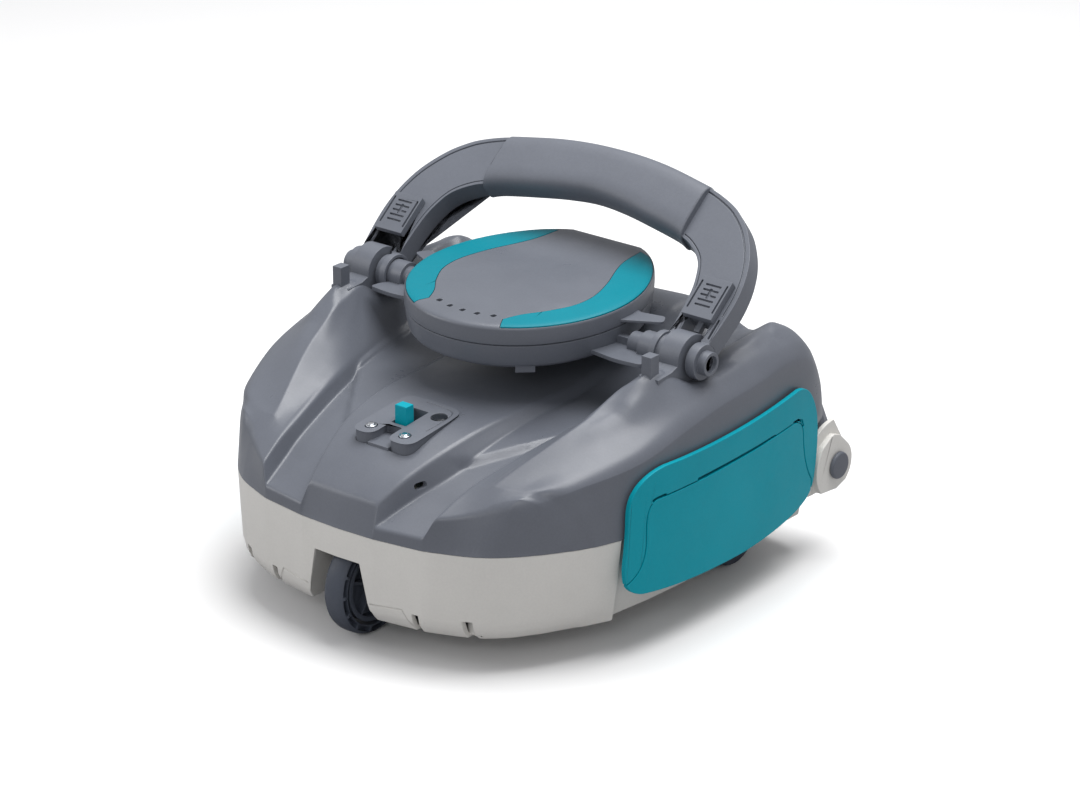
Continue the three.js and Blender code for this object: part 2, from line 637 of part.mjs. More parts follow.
add('control_case', cut(
  block(34, 92, 110, 198, 66, 90),
  block(36, 90, 112, 196, 68, 100),
), DARK_SLATE);
add('control_board', join(
  block(37, 89, 114, 194, 72, 73.6),
  block(44, 58, 124, 140, 73.4, 80),
  block(66, 82, 150, 176, 73.4, 77),
  block(44, 52, 160, 184, 73.4, 84),
), BOARD_GREEN);

// ---------------------------------------------------------------- rear pins
addPair('rear_pin', join(
  barX(LID_PIN_RADIUS, 132.4, 150.6, LID_PIN_Y, LID_PIN_Z, 24),
  turnedX([[0, 149.8], [8.8, 149.8], [8.8, 151.4], [8, 152.4], [0, 152.8]], LID_PIN_Y, LID_PIN_Z, 28),
), DARK_SLATE);

// ---------------------------------------------------------------- side latch panels
const PANEL_CURVE = [
  [145.8, 76], [147.2, 84], [149.9, 97], [153, 125], [154.2, 166], [153.8, 205], [152, 240],
  [150.4, 258], [149.2, 272],
];
const PANEL_THICKNESS = 3;
const bandOf = (curve, thickness) => shapeOf([
  ...curve, ...curve.slice().reverse().map(([x, y]) => [x - thickness, y]),
]);
const panelCurve = new THREE.SplineCurve(PANEL_CURVE.map(([x, y]) => new THREE.Vector2(x, y)))
  .getPoints(20).map((p) => [p.x, p.y]);
const panelBand = prismZ(bandOf(panelCurve, PANEL_THICKNESS), 0, 130);
const panelOutline = new THREE.Shape();
panelOutline.moveTo(80.4, 60);
panelOutline.bezierCurveTo(79, 52, 79.5, 46, 81, 42);
panelOutline.quadraticCurveTo(84, 35, 94, 33);
panelOutline.bezierCurveTo(118, 30, 150, 28, 188, 28.4);
panelOutline.quadraticCurveTo(232, 30.5, 250, 36.5);
panelOutline.quadraticCurveTo(263, 40, 265.5, 50);
panelOutline.quadraticCurveTo(271, 76, 267, 93);
panelOutline.quadraticCurveTo(260, 115, 244, 115);
panelOutline.quadraticCurveTo(180, 108, 112, 110);
panelOutline.bezierCurveTo(92, 109, 82, 100, 82, 84);
panelOutline.bezierCurveTo(82, 74, 81, 66, 80.4, 60);
const flapOutline = new THREE.Shape();
flapOutline.moveTo(81.4, 42);
flapOutline.quadraticCurveTo(92, 46, 95, 58);
flapOutline.bezierCurveTo(97, 66, 95.4, 74, 96.4, 80);
flapOutline.quadraticCurveTo(98, FLAP_TOP_Z, 110, FLAP_TOP_Z);
flapOutline.lineTo(236, FLAP_TOP_Z + 1.4);
flapOutline.quadraticCurveTo(249.4, FLAP_TOP_Z + 1.6, 251, 80);
flapOutline.quadraticCurveTo(252, 62, 262, 50);
flapOutline.lineTo(262, 20);
flapOutline.lineTo(81.4, 20);
const pointsOf = (shape, n) => shape.getPoints(n).map((p) => [p.x, p.y]);
const panelPoints = pointsOf(panelOutline, 5);
const flapPoints = pointsOf(flapOutline, 4).reverse();
const panelSlab = prismX(shapeOf(panelPoints), 135, 165).intersect(panelBand);
const flapZone = prismX(shapeOf(flapPoints), 130, 170);
const flapClear = prismX(shapeOf(offsetOutline(flapPoints, 0.9)), 130, 170);
addPair('side_panel', panelSlab.subtract(flapClear), TEAL);
addPair('side_flap', panelSlab.intersect(flapZone), TEAL);

// ---------------------------------------------------------------- hinge posts
const postSide = new THREE.Shape();
postSide.moveTo(AXIS_Y - 34, 128);
postSide.lineTo(AXIS_Y - 34, AXIS_Z - 3);
postSide.lineTo(AXIS_Y - 21, AXIS_Z - 2);
postSide.lineTo(AXIS_Y - POST_RADIUS, AXIS_Z);
postSide.absarc(AXIS_Y, AXIS_Z, POST_RADIUS, Math.PI, 0, true);
postSide.lineTo(AXIS_Y + 14, 128);
const postTab = block(POST_X - 3.5, POST_X + 3.5, AXIS_Y - 36.5, AXIS_Y - 28.5, 128, AXIS_Z + 11);
const postRaw = cut(
  join(prismX(postSide, POST_X - POST_WIDTH / 2, POST_X + POST_WIDTH / 2, 10), postTab),
  barX(PIN_RADIUS + GAP, 100, 150, AXIS_Y, AXIS_Z, 24),
);
// Stands a post on the shell and keeps the piece above it.
const onShell = (raw) => raw.subtract(shellFilled.translate([0, 0, GAP])).decompose()
  .sort((first, second) => second.volume() - first.volume())[0];
add('hinge_post_right', onShell(postRaw), SLATE);
add('hinge_post_left', onShell(mirror(postRaw)), SLATE);
addPair('pivot_pin', barX(PIN_RADIUS, 98.6, 139, AXIS_Y, AXIS_Z, 24), STEEL);

// ---------------------------------------------------------------- handle
const handle = new THREE.Group();
handle.name = 'handle_frame';
handle.position.set(0, AXIS_Y, AXIS_Z);
handle.rotation.x = THREE.MathUtils.degToRad(HANDLE_LEAN);
root.add(handle);
const ARM_OUTER = [
  [136, 11], [137.6, 30], [137.4, 45], [134.6, 60], [128.4, 75], [117.4, 90], [106, 99.6],
  [97, 104.6], [86, 108.8], [78.3, 111],
];
const ARM_INNER = [
  [78.3, 74], [84, 71.6], [92, 66.4], [97.4, 61], [100.6, 55], [103.8, 45], [105.2, 35],
  [106, 20], [106, 11],
];
const ARM_BACK = -9;
const ARM_FRONT = 5;
const armShape = shapeOf([...ARM_INNER.slice().reverse(), ...ARM_OUTER.slice().reverse()].reverse());
const armPlate = prismZ(armShape, ARM_BACK, ARM_FRONT);
const fork = block(POST_X - 8.7, POST_X + 8.7, 0, 24, -20, 20);
const latchWindow = block(POST_X - 8.4, POST_X + 8.4, 12, 50, -20, 20);
const springWell = block(POST_X - 5, POST_X + 5, 45, 64, -20, 1.5);
const eyeOuter = barX(11, 130, 136.6, 0, 0, 28);
const bossOuter = barX(7.4, 136, 141.8, 0, 0, 24);
const eyeInner = barX(10.8, 107.2, 112.2, 0, 0, 28);
const flange = cut(barX(12.5, 103.3, 107.8, 0, 0, 32), barX(10.3, 100, 107.2, 0, 0, 28));
const legOuter = block(130, 136, 0, 14, ARM_BACK, ARM_FRONT);
const legInner = block(106.2, 112, 0, 14, ARM_BACK, ARM_FRONT);
const arm = cut(
  join(armPlate, eyeOuter, bossOuter, eyeInner, flange, legOuter, legInner),
  fork,
  latchWindow,
  springWell,
  barX(PIN_BORE, 106, 139.6, 0, 0, 24),
  barX(5.1, 139.4, 145, 0, 0, 20),
  barX(10.3, 100, 107.2, 0, 0, 28),
);
addPair('handle_arm', arm, SLATE, handle);

// The grip is a thick rounded bar that follows the bow of the handle.
const GRIP_HALF = 78;
const gripShape = shapeOf([
  [-GRIP_HALF, 71], [-65, 74.4], [-37, 79.6], [-18, 83.6], [0, 85.6], [18, 83.6], [37, 79.6], [65, 74.4],
  [GRIP_HALF, 71], [GRIP_HALF, 113.8], [72, 116], [50, 120.6], [25, 122.6], [0, 123],
  [-25, 122.6], [-50, 120.6], [-72, 116], [-GRIP_HALF, 113.8],
]);
const gripGeometry = new THREE.ExtrudeGeometry(gripShape, {
  depth: 10, bevelEnabled: true, bevelThickness: 7, bevelSize: 5, bevelOffset: -5, bevelSegments: 3,
});
gripGeometry.translate(0, 0, -7);
const grip = toSolid(gripGeometry);
add('handle_grip', grip, DARK_SLATE, handle);

// ---------------------------------------------------------------- handle latches
const ribsOnLatch = [0, 1, 2, 3, 4].map(
  (k) => block(POST_X - 5.5, POST_X + 5.5, 27.5 + k * 3, 28.9 + k * 3, 9, 10.8),
);
const sliderSlots = [-1, 1].map(
  (side) => block(POST_X + side * 9.2 - 0.7, POST_X + side * 9.2 + 0.7, 27, 42.5, 8.4, 12),
);
const slider = cut(
  join(
    block(POST_X - 11, POST_X + 11, 23, 44, 5.4, 10),
    block(POST_X - 7.9, POST_X + 7.9, 24, 44, -5, 5.6),
    block(POST_X - 2, POST_X + 2, 17, 26, -2, 2),
    ...ribsOnLatch,
  ),
  ...sliderSlots,
  block(POST_X - 1.2, POST_X + 1.2, 33.2, 36, 7.5, 12),
);
addPair('latch_slider', slider, DARK_SLATE, handle);
function coil(radius, wire, turns, length) {
  const steps = turns * 7;
  const points = Array.from({ length: steps + 1 }, (_, k) => {
    const a = k * Math.PI * 2 / 7;
    return new THREE.Vector3(radius * Math.cos(a), length * k / steps, radius * Math.sin(a));
  });
  const corners = [0, 1, 2, 3, 4].map((k) => [wire * Math.cos(k * 1.2566), wire * Math.sin(k * 1.2566)]);
  const section = shapeOf(corners);
  return toSolid(new THREE.ExtrudeGeometry(section, {
    extrudePath: new THREE.CatmullRomCurve3(points), steps, bevelEnabled: false,
  }));
}
addPair('latch_spring', coil(2.9, 0.5, 4, 9.6).translate([POST_X, 44.9, -4]), STEEL, handle);

// ---------------------------------------------------------------- pod
const pod = new THREE.Group();
pod.name = 'pod_frame';
pod.position.set(0, AXIS_Y, AXIS_Z);
root.add(pod);
// The pod's layers rise slightly towards the rear.
const lifted = (solid) => solid.transform([
  1, 0, 0, 0, 0, 1, POD_LIFT / 157, 0, 0, 0, 1, 0, 0, 0, -93 * POD_LIFT / 157, 1,
]);
const podPlace = (solid) => solid.translate([0, -AXIS_Y, -AXIS_Z]);
function podOutline(inset) {
  const r = POD_RADIUS - inset;
  const shape = new THREE.Shape();
  shape.absarc(0, POD_Y, r, Math.PI, 0, false);
  shape.bezierCurveTo(r, POD_Y + 38, 48 - inset, 250 - inset * 0.6 - 8, 28 - inset * 0.6, 250 - inset);
  shape.lineTo(-28 + inset * 0.6, 250 - inset);
  shape.bezierCurveTo(-48 + inset, 250 - inset * 0.6 - 8, -r, POD_Y + 38, -r, POD_Y);
  return shape.getPoints(7).slice(0, -1).map((p) => [p.x, p.y]);
}
const podRing = (inset, z) => podOutline(inset).map(([x, y]) => [x, y, z]);
const POD_SEAM_Z = 158;
const podShellOuter = loft([
  podRing(15, POD_BOTTOM_Z),
  podRing(5, POD_BOTTOM_Z + 1.2),
  podRing(1.4, 149),
  podRing(0.6, POD_SEAM_Z),
]);
const podShellInner = loft([podRing(17, POD_BOTTOM_Z + 2.6), podRing(4, 150), podRing(3.2, POD_SEAM_Z + 1)]);
const podRise = toSolid(new THREE.BoxGeometry(200, 120, 40)).rotate([19, 0, 0]).translate([0, 262, 136]);
const podArm = bothSides(join(
  prismZ(shapeOf([[62, 148], [95, 160], [95, 172], [62, 178]]), 148.6, 152.6),
  barX(9.6, 93, 106.8, AXIS_Y, AXIS_Z, 28),
  block(70, 96, AXIS_Y - 3, AXIS_Y + 3, 147, 156),
));
const podPinHole = bothSides(barX(PIN_BORE, 98, 112, AXIS_Y, AXIS_Z, 24));
const podCatch = prismZ(roundRect(-9, 9, 94, 104, 3), POD_BOTTOM_Z - 2, POD_BOTTOM_Z + 3);
add('pod_lower', podPlace(cut(
  join(lifted(join(podShellOuter, podCatch)), podArm),
  lifted(podShellInner).subtract(podRise.translate([0, 0, 3.2])),
  podRise,
  podPinHole,
)), DARK_SLATE, pod);

const podTopOuter = loft([
  podRing(0.6, POD_SEAM_Z + GAP),
  podRing(0, 161),
  podRing(0, 168),
  podRing(2.4, POD_TOP_Z + 0.6),
  podRing(12, POD_TOP_Z + 2.2),
]);
const podTopInner = loft([podRing(3.2, POD_SEAM_Z - 1), podRing(3, 166), podRing(9, POD_TOP_Z - 1.6)]);
const accentOutline = new THREE.Shape();
accentOutline.moveTo(30.5, 110);
accentOutline.quadraticCurveTo(60, 122, 68, 150);
accentOutline.bezierCurveTo(73, 168, 70, 196, 56, 222);
accentOutline.quadraticCurveTo(46, 238, 30, 243.5);
accentOutline.quadraticCurveTo(32, 232, 40, 222);
accentOutline.bezierCurveTo(50, 206, 52, 182, 50, 164);
accentOutline.quadraticCurveTo(47, 138, 35, 124);
accentOutline.quadraticCurveTo(30, 117, 30.5, 110);
const accentPoints = pointsOf(accentOutline, 5).slice(0, -1);
const accentPocket = prismZ(shapeOf(offsetOutline(accentPoints, GAP)), POD_TOP_Z - 0.4, 190);
const accent = prismZ(shapeOf(accentPoints), POD_TOP_Z - 0.1, 190).intersect(
  loft([podRing(0, 150), podRing(0, 168.4), podRing(2.4, POD_TOP_Z + 1.2), podRing(12, POD_TOP_Z + 2.7)]),
);
const ledHoles = [-21, -10.6, 0, 10.6, 21].map((x) => {
  const y = POD_Y - Math.sqrt(66 ** 2 - x * x);
  return barZ(1.6, 160, 180, x, y, 8);
});
add('pod_cover', podPlace(lifted(
  cut(podTopOuter, podTopInner, bothSides(accentPocket), ...ledHoles),
)), SLATE, pod);
addPair('pod_accent', podPlace(lifted(accent)), TEAL, pod);
add('pod_seal', podPlace(lifted(cut(
  loft([podRing(4, 155), podRing(4, 157.6)]),
  loft([podRing(6.4, 154), podRing(6.4, 159)]),
))), RUBBER, pod);
add('pod_float', podPlace(lifted(cut(
  loft([podRing(20, 146.8), podRing(14, 152), podRing(14, 162)]),
  block(-100, 100, 205, 260, 140, 170),
))), FOAM, pod);

export default root;
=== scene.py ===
"""Looks for the pool cleaner: refined meshes, moulded-plastic materials, soft studio light."""
import json
import math

import bmesh
import bpy
from mathutils import Matrix, Vector


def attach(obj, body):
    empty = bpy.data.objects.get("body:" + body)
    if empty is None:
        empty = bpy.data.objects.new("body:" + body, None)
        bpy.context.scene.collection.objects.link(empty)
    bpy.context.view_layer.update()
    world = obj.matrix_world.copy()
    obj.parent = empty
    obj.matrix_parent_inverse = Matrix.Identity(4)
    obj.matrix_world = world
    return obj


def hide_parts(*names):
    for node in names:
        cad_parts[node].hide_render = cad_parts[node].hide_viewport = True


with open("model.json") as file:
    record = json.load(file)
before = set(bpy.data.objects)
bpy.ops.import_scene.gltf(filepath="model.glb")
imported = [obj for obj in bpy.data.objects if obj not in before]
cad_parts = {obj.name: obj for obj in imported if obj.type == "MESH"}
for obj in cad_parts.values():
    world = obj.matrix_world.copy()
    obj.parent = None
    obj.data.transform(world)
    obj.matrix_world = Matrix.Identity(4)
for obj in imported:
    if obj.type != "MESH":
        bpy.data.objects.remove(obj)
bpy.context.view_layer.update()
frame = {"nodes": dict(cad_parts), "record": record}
SCENE = bpy.context.scene

# ------------------------------------------------------------------ places, in millimetres
CENTRE_Y = 146.5
GROUND_Z = -6.2
AXIS_Y = 167.4
AXIS_Z = 153.2
LEAN = math.radians(39)
POST_X = 121
GAP = 0.3
WHEEL_Y = 18.1
WHEEL_Z = 25.9
WHEEL_RADIUS = 32.1
POD_Y = 170
POD_RADIUS = 77
POD_SEAM_Z = 158
SEAM_Z = 70


def metres(point):
    """A point in shell millimetres, as a place in the row frame."""
    x, y, z = point
    return Vector((x / 1000, (y - CENTRE_Y) / 1000, (z - GROUND_Z) / 1000))


def leaned(point):
    """A point in the handle's own millimetres (y up the arm, z out of its face)."""
    x, y, z = point
    return metres((
        x,
        AXIS_Y + y * math.cos(LEAN) - z * math.sin(LEAN),
        AXIS_Z + y * math.sin(LEAN) + z * math.cos(LEAN),
    ))


# ------------------------------------------------------------------ mesh helpers
def make(name, points, faces, place=metres):
    """A mesh object from points in millimetres."""
    mesh = bpy.data.meshes.new(name)
    mesh.from_pydata([place(p) for p in points], [], faces)
    bm = bmesh.new()
    bm.from_mesh(mesh)
    bmesh.ops.remove_doubles(bm, verts=bm.verts, dist=1e-6)
    bmesh.ops.recalc_face_normals(bm, faces=bm.faces)
    bm.to_mesh(mesh)
    bm.free()
    obj = bpy.data.objects.new(name, mesh)
    SCENE.collection.objects.link(obj)
    return obj


def prism(name, outline, low, high, along="z", place=metres):
    """An outline pushed along one axis; the outline gives the other two in x, y, z order."""
    def point(a, b, c):
        if along == "x":
            return (c, a, b)
        if along == "y":
            return (a, c, b)
        return (a, b, c)
    n = len(outline)
    points = [point(a, b, low) for a, b in outline] + [point(a, b, high) for a, b in outline]
    faces = [list(range(n))[::-1], list(range(n, 2 * n))]
    faces += [[i, (i + 1) % n, n + (i + 1) % n, n + i] for i in range(n)]
    return make(name, points, faces, place)


def block(name, x0, x1, y0, y1, z0, z1, place=metres):
    return prism(name, [(x0, y0), (x1, y0), (x1, y1), (x0, y1)], z0, z1, place=place)


def circle(a, b, radius, count=48):
    return [
        (a + radius * math.cos(2 * math.pi * k / count), b + radius * math.sin(2 * math.pi * k / count))
        for k in range(count)
    ]


def bar_x(name, radius, x0, x1, y, z, place=metres, count=48):
    return prism(name, circle(y, z, radius, count), x0, x1, along="x", place=place)


def skin(name, rings, place=metres, closed=True, caps=True):
    """Joins a stack of rings with matching points."""
    n = len(rings[0])
    points = [p for ring in rings for p in ring]
    faces = []
    for k in range(len(rings) - 1):
        for i in range(n if closed else n - 1):
            j = (i + 1) % n
            faces.append([k * n + i, k * n + j, (k + 1) * n + j, (k + 1) * n + i])
    if caps:
        faces.append(list(range(n))[::-1])
        faces.append([(len(rings) - 1) * n + i for i in range(n)])
    return make(name, points, faces, place)


def bake(obj):
    """Turns the modifiers into plain geometry."""
    graph = bpy.context.evaluated_depsgraph_get()
    graph.update()
    mesh = bpy.data.meshes.new_from_object(obj.evaluated_get(graph))
    obj.modifiers.clear()
    obj.data = mesh
    return obj


def combine(obj, others, operation):
    for other in others:
        mod = obj.modifiers.new("shape", "BOOLEAN")
        mod.operation = operation
        mod.solver = "MANIFOLD"
        mod.object = other
        before = len(obj.data.polygons)
        bake(obj)
        if len(obj.data.polygons) == 0 and before:
            print("boolean gave nothing:", obj.name, other.name)
        bpy.data.objects.remove(other)
    return obj


def cut(obj, *others):
    return combine(obj, others, "DIFFERENCE")


def join(obj, *others):
    return combine(obj, others, "UNION")


def overlap(obj, other):
    return combine(obj, [other], "INTERSECT")


def mirrored(obj, name):
    """A left-hand copy of a right-hand piece."""
    copy = obj.copy()
    copy.data = obj.data.copy()
    copy.name = name
    copy.data.transform(Matrix.Diagonal((-1, 1, 1, 1)))
    copy.data.flip_normals()
    SCENE.collection.objects.link(copy)
    return copy


def finish_edges(obj, width=0.5, angle=32, segments=2):
    """Rounds the sharp edges (width in millimetres) and shades the rest smooth."""
    bm = bmesh.new()
    bm.from_mesh(obj.data)
    bmesh.ops.remove_doubles(bm, verts=bm.verts, dist=2e-6)
    bm.to_mesh(obj.data)
    bm.free()
    for poly in obj.data.polygons:
        poly.use_smooth = True
    if width:
        bevel = obj.modifiers.new("round", "BEVEL")
        bevel.width = width / 1000
        bevel.segments = segments
        bevel.limit_method = "ANGLE"
        bevel.angle_limit = math.radians(angle)
        bevel.use_clamp_overlap = False
        bevel.miter_outer = "MITER_ARC"
        bevel.harden_normals = False
        bake(obj)
    for poly in obj.data.polygons:
        poly.use_smooth = True
    obj.data.set_sharp_from_angle(angle=math.radians(42))
    weighted = obj.modifiers.new("shade", "WEIGHTED_NORMAL")
    weighted.keep_sharp = True
    return obj


def copy_node(node, name=None):
    """A free copy of a CAD node's mesh, to refine."""
    source = frame["nodes"][node]
    obj = bpy.data.objects.new(name or f"{node}_form", source.data.copy())
    obj.data.materials.clear()
    SCENE.collection.objects.link(obj)
    return obj


def merged(obj):
    """Joins the doubled points of a CAD mesh, so that it can be cut."""
    bm = bmesh.new()
    bm.from_mesh(obj.data)
    bmesh.ops.remove_doubles(bm, verts=bm.verts, dist=2e-6)
    bmesh.ops.recalc_face_normals(bm, faces=bm.faces)
    bm.to_mesh(obj.data)
    bm.free()
    return obj


def place_piece(obj, body, material, *nodes):
    obj.data.materials.clear()
    obj.data.materials.append(material)
    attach(obj, body)
    if nodes:
        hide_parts(*nodes)
    return obj


# ------------------------------------------------------------------ curve helpers
def lerp(a, b, t):
    return tuple(p + (q - p) * t for p, q in zip(a, b))


def smooth(t):
    c = min(max(t, 0.0), 1.0)
    return c * c * (3 - 2 * c)


def hermite(p, q, tangent_p, tangent_q, t):
    h00 = 2 * t ** 3 - 3 * t ** 2 + 1
    h10 = t ** 3 - 2 * t ** 2 + t
    h01 = -2 * t ** 3 + 3 * t ** 2
    h11 = t ** 3 - t ** 2
    return tuple(
        h00 * a + h10 * m + h01 * b + h11 * n for a, b, m, n in zip(p, q, tangent_p, tangent_q)
    )


def feature_curve(points, sharpness, radius, steps, mirror_start=False):
    """A curve through points; each point has a sharpness (0 flowing, 1 a crease) and a rounding radius."""
    count = len(points)
    def at(k):
        if k < 0:
            return (-points[1][0], *points[1][1:]) if mirror_start else points[0]
        return points[min(k, count - 1)]
    spans = []
    for i in range(count - 1):
        p, q = points[i], points[i + 1]
        chord = tuple(b - a for a, b in zip(p, q))
        flow_p = tuple((b - a) / 2 for a, b in zip(at(i - 1), q))
        flow_q = tuple((b - a) / 2 for a, b in zip(p, at(i + 2)))
        tangent_p = lerp(flow_p, chord, sharpness[i])
        tangent_q = lerp(flow_q, chord, sharpness[i + 1])
        length = max(math.dist(p, q), 1e-6)
        spans.append((p, q, tangent_p, tangent_q, length))
    out = []
    for i, (p, q, tangent_p, tangent_q, length) in enumerate(spans):
        t0 = min(radius[i] / length, 0.42) if i else 0.0
        t1 = 1 - (min(radius[i + 1] / length, 0.42) if i < count - 2 else 0.0)
        if i:
            last = spans[i - 1]
            back = 1 - min(radius[i] / last[4], 0.42)
            a = hermite(*last[:4], back)
            b = hermite(p, q, tangent_p, tangent_q, t0)
            for k in range(5):
                s = k / 4
                out.append(lerp(lerp(a, p, s), lerp(p, b, s), s))
        else:
            out.append(p)
        for k in range(1, steps[i]):
            out.append(hermite(p, q, tangent_p, tangent_q, t0 + (t1 - t0) * k / steps[i]))
    out.append(points[-1])
    return out


def rounded(points, radius, count=6):
    """A closed outline with its corners rounded; radius may be one number or one per corner."""
    out = []
    n = len(points)
    for i, corner in enumerate(points):
        r = radius[i] if isinstance(radius, (list, tuple)) else radius
        before, after = points[i - 1], points[(i + 1) % n]
        cut_back = min(r, 0.48 * math.dist(corner, before), 0.48 * math.dist(corner, after))
        if cut_back < 0.05:
            out.append(corner)
            continue
        a = lerp(corner, before, cut_back / math.dist(corner, before))
        b = lerp(corner, after, cut_back / math.dist(corner, after))
        out += [lerp(lerp(a, corner, k / count), lerp(corner, b, k / count), k / count) for k in range(count + 1)]
    return out


def spline(points, steps=8, closed=False):
    """A flowing curve through points."""
    out = []
    n = len(points)
    last = n if closed else n - 1
    for i in range(last):
        def at(k):
            return points[k % n] if closed else points[min(max(k, 0), n - 1)]
        a, b, c, d = at(i - 1), at(i), at(i + 1), at(i + 2)
        for k in range(steps):
            t = k / steps
            out.append(tuple(
                0.5 * (2 * q + (r - p) * t + (2 * p - 5 * q + 4 * r - s) * t * t
                       + (3 * q - p - 3 * r + s) * t ** 3)
                for p, q, r, s in zip(a, b, c, d)
            ))
    if not closed:
        out.append(points[-1])
    return out


def bezier(a, b, c, d, count=16):
    """Points of a cubic curve, without its first point."""
    out = []
    for k in range(1, count + 1):
        t = k / count
        ab, bc, cd = lerp(a, b, t), lerp(b, c, t), lerp(c, d, t)
        out.append(lerp(lerp(ab, bc, t), lerp(bc, cd, t), t))
    return out


def quadratic(a, b, c, count=12):
    return [lerp(lerp(a, b, k / count), lerp(b, c, k / count), k / count) for k in range(1, count + 1)]


def offset(points, distance):
    """Moves a closed counter-clockwise outline outward."""
    n = len(points)
    out = []
    for i, (a, b) in enumerate(points):
        pa, pb = points[i - 1]
        na, nb = points[(i + 1) % n]
        into = Vector((a - pa, b - pb))
        away = Vector((na - a, nb - b))
        if into.length < 1e-9 or away.length < 1e-9:
            out.append((a, b))
            continue
        into.normalize()
        away.normalize()
        normal = Vector((into.y + away.y, -(into.x + away.x)))
        if normal.length < 1e-6:
            out.append((a, b))
            continue
        normal.normalize()
        stretch = 1 / max(0.5, normal.dot(Vector((into.y, -into.x))))
        out.append((a + normal.x * distance * stretch, b + normal.y * distance * stretch))
    return out


def grown(points, distance):
    """Moves a closed outline outward whichever way it runs."""
    area = sum(a[0] * b[1] - b[0] * a[1] for a, b in zip(points, points[1:] + points[:1]))
    return offset(points, distance if area > 0 else -distance)


# ------------------------------------------------------------------ materials
def linear(value):
    return value / 12.92 if value <= 0.04045 else ((value + 0.055) / 1.055) ** 2.4


def colour(code):
    return tuple(linear(int(code[i:i + 2], 16) / 255) for i in (0, 2, 4)) + (1.0,)


def moulded(
    name, code, roughness, grain=1500, grain_depth=0.05, mottle=0.06, metallic=0.0, coat=0.0,
    rough_spread=0.07, wear=0.12, stretch=(1, 1, 1), specular=0.5,
):
    """Moulded material: slow colour drift, fine grain, uneven gloss and slightly rubbed edges."""
    mat = bpy.data.materials.new(name)
    mat.use_nodes = True
    nodes, links = mat.node_tree.nodes, mat.node_tree.links
    shader = nodes["Principled BSDF"]
    shader.inputs["Metallic"].default_value = metallic
    shader.inputs["Coat Weight"].default_value = coat
    shader.inputs["Coat Roughness"].default_value = 0.2
    shader.inputs["Specular IOR Level"].default_value = specular
    where = nodes.new("ShaderNodeTexCoord")
    mapping = nodes.new("ShaderNodeMapping")
    mapping.inputs["Scale"].default_value = stretch
    links.new(where.outputs["Object"], mapping.inputs["Vector"])

    def noise(scale, detail, rough):
        node = nodes.new("ShaderNodeTexNoise")
        node.inputs["Scale"].default_value = scale
        node.inputs["Detail"].default_value = detail
        node.inputs["Roughness"].default_value = rough
        links.new(mapping.outputs["Vector"], node.inputs["Vector"])
        return node

    base = colour(code)
    drift = noise(14, 4, 0.6)
    tint = nodes.new("ShaderNodeValToRGB")
    tint.color_ramp.elements[0].position = 0.3
    tint.color_ramp.elements[1].position = 0.7
    tint.color_ramp.elements[0].color = tuple(c * (1 - mottle) for c in base[:3]) + (1,)
    tint.color_ramp.elements[1].color = tuple(min(c * (1 + mottle), 1) for c in base[:3]) + (1,)
    links.new(drift.outputs["Fac"], tint.inputs["Fac"])
    speck = noise(grain * 0.45, 2, 0.5)
    speck_ramp = nodes.new("ShaderNodeMapRange")
    speck_ramp.inputs["From Min"].default_value = 0.3
    speck_ramp.inputs["From Max"].default_value = 0.7
    speck_ramp.inputs["To Min"].default_value = 1 - mottle * 0.5
    speck_ramp.inputs["To Max"].default_value = 1 + mottle * 0.5
    links.new(speck.outputs["Fac"], speck_ramp.inputs["Value"])
    scaled = nodes.new("ShaderNodeVectorMath")
    scaled.operation = "SCALE"
    links.new(tint.outputs["Color"], scaled.inputs[0])
    links.new(speck_ramp.outputs["Result"], scaled.inputs["Scale"])
    worn = nodes.new("ShaderNodeMix")
    worn.data_type = "RGBA"
    geometry = nodes.new("ShaderNodeNewGeometry")
    edge = nodes.new("ShaderNodeMapRange")
    edge.inputs["From Min"].default_value = 0.51
    edge.inputs["From Max"].default_value = 0.6
    edge.inputs["To Max"].default_value = wear
    links.new(geometry.outputs["Pointiness"], edge.inputs["Value"])
    links.new(edge.outputs["Result"], worn.inputs["Factor"])
    links.new(scaled.outputs["Vector"], worn.inputs["A"])
    worn.inputs["B"].default_value = tuple(min(c * 1.6 + 0.05, 1) for c in base[:3]) + (1,)
    links.new(worn.outputs["Result"], shader.inputs["Base Color"])
    gloss = noise(38, 5, 0.65)
    gloss_range = nodes.new("ShaderNodeMapRange")
    gloss_range.inputs["From Min"].default_value = 0.3
    gloss_range.inputs["From Max"].default_value = 0.7
    gloss_range.inputs["To Min"].default_value = max(roughness - rough_spread, 0.03)
    gloss_range.inputs["To Max"].default_value = min(roughness + rough_spread, 1)
    links.new(gloss.outputs["Fac"], gloss_range.inputs["Value"])
    links.new(gloss_range.outputs["Result"], shader.inputs["Roughness"])
    fine = noise(grain, 3, 0.6)
    bump = nodes.new("ShaderNodeBump")
    bump.inputs["Strength"].default_value = grain_depth * 4
    bump.inputs["Distance"].default_value = 0.00012
    links.new(fine.outputs["Fac"], bump.inputs["Height"])
    links.new(bump.outputs["Normal"], shader.inputs["Normal"])
    return mat


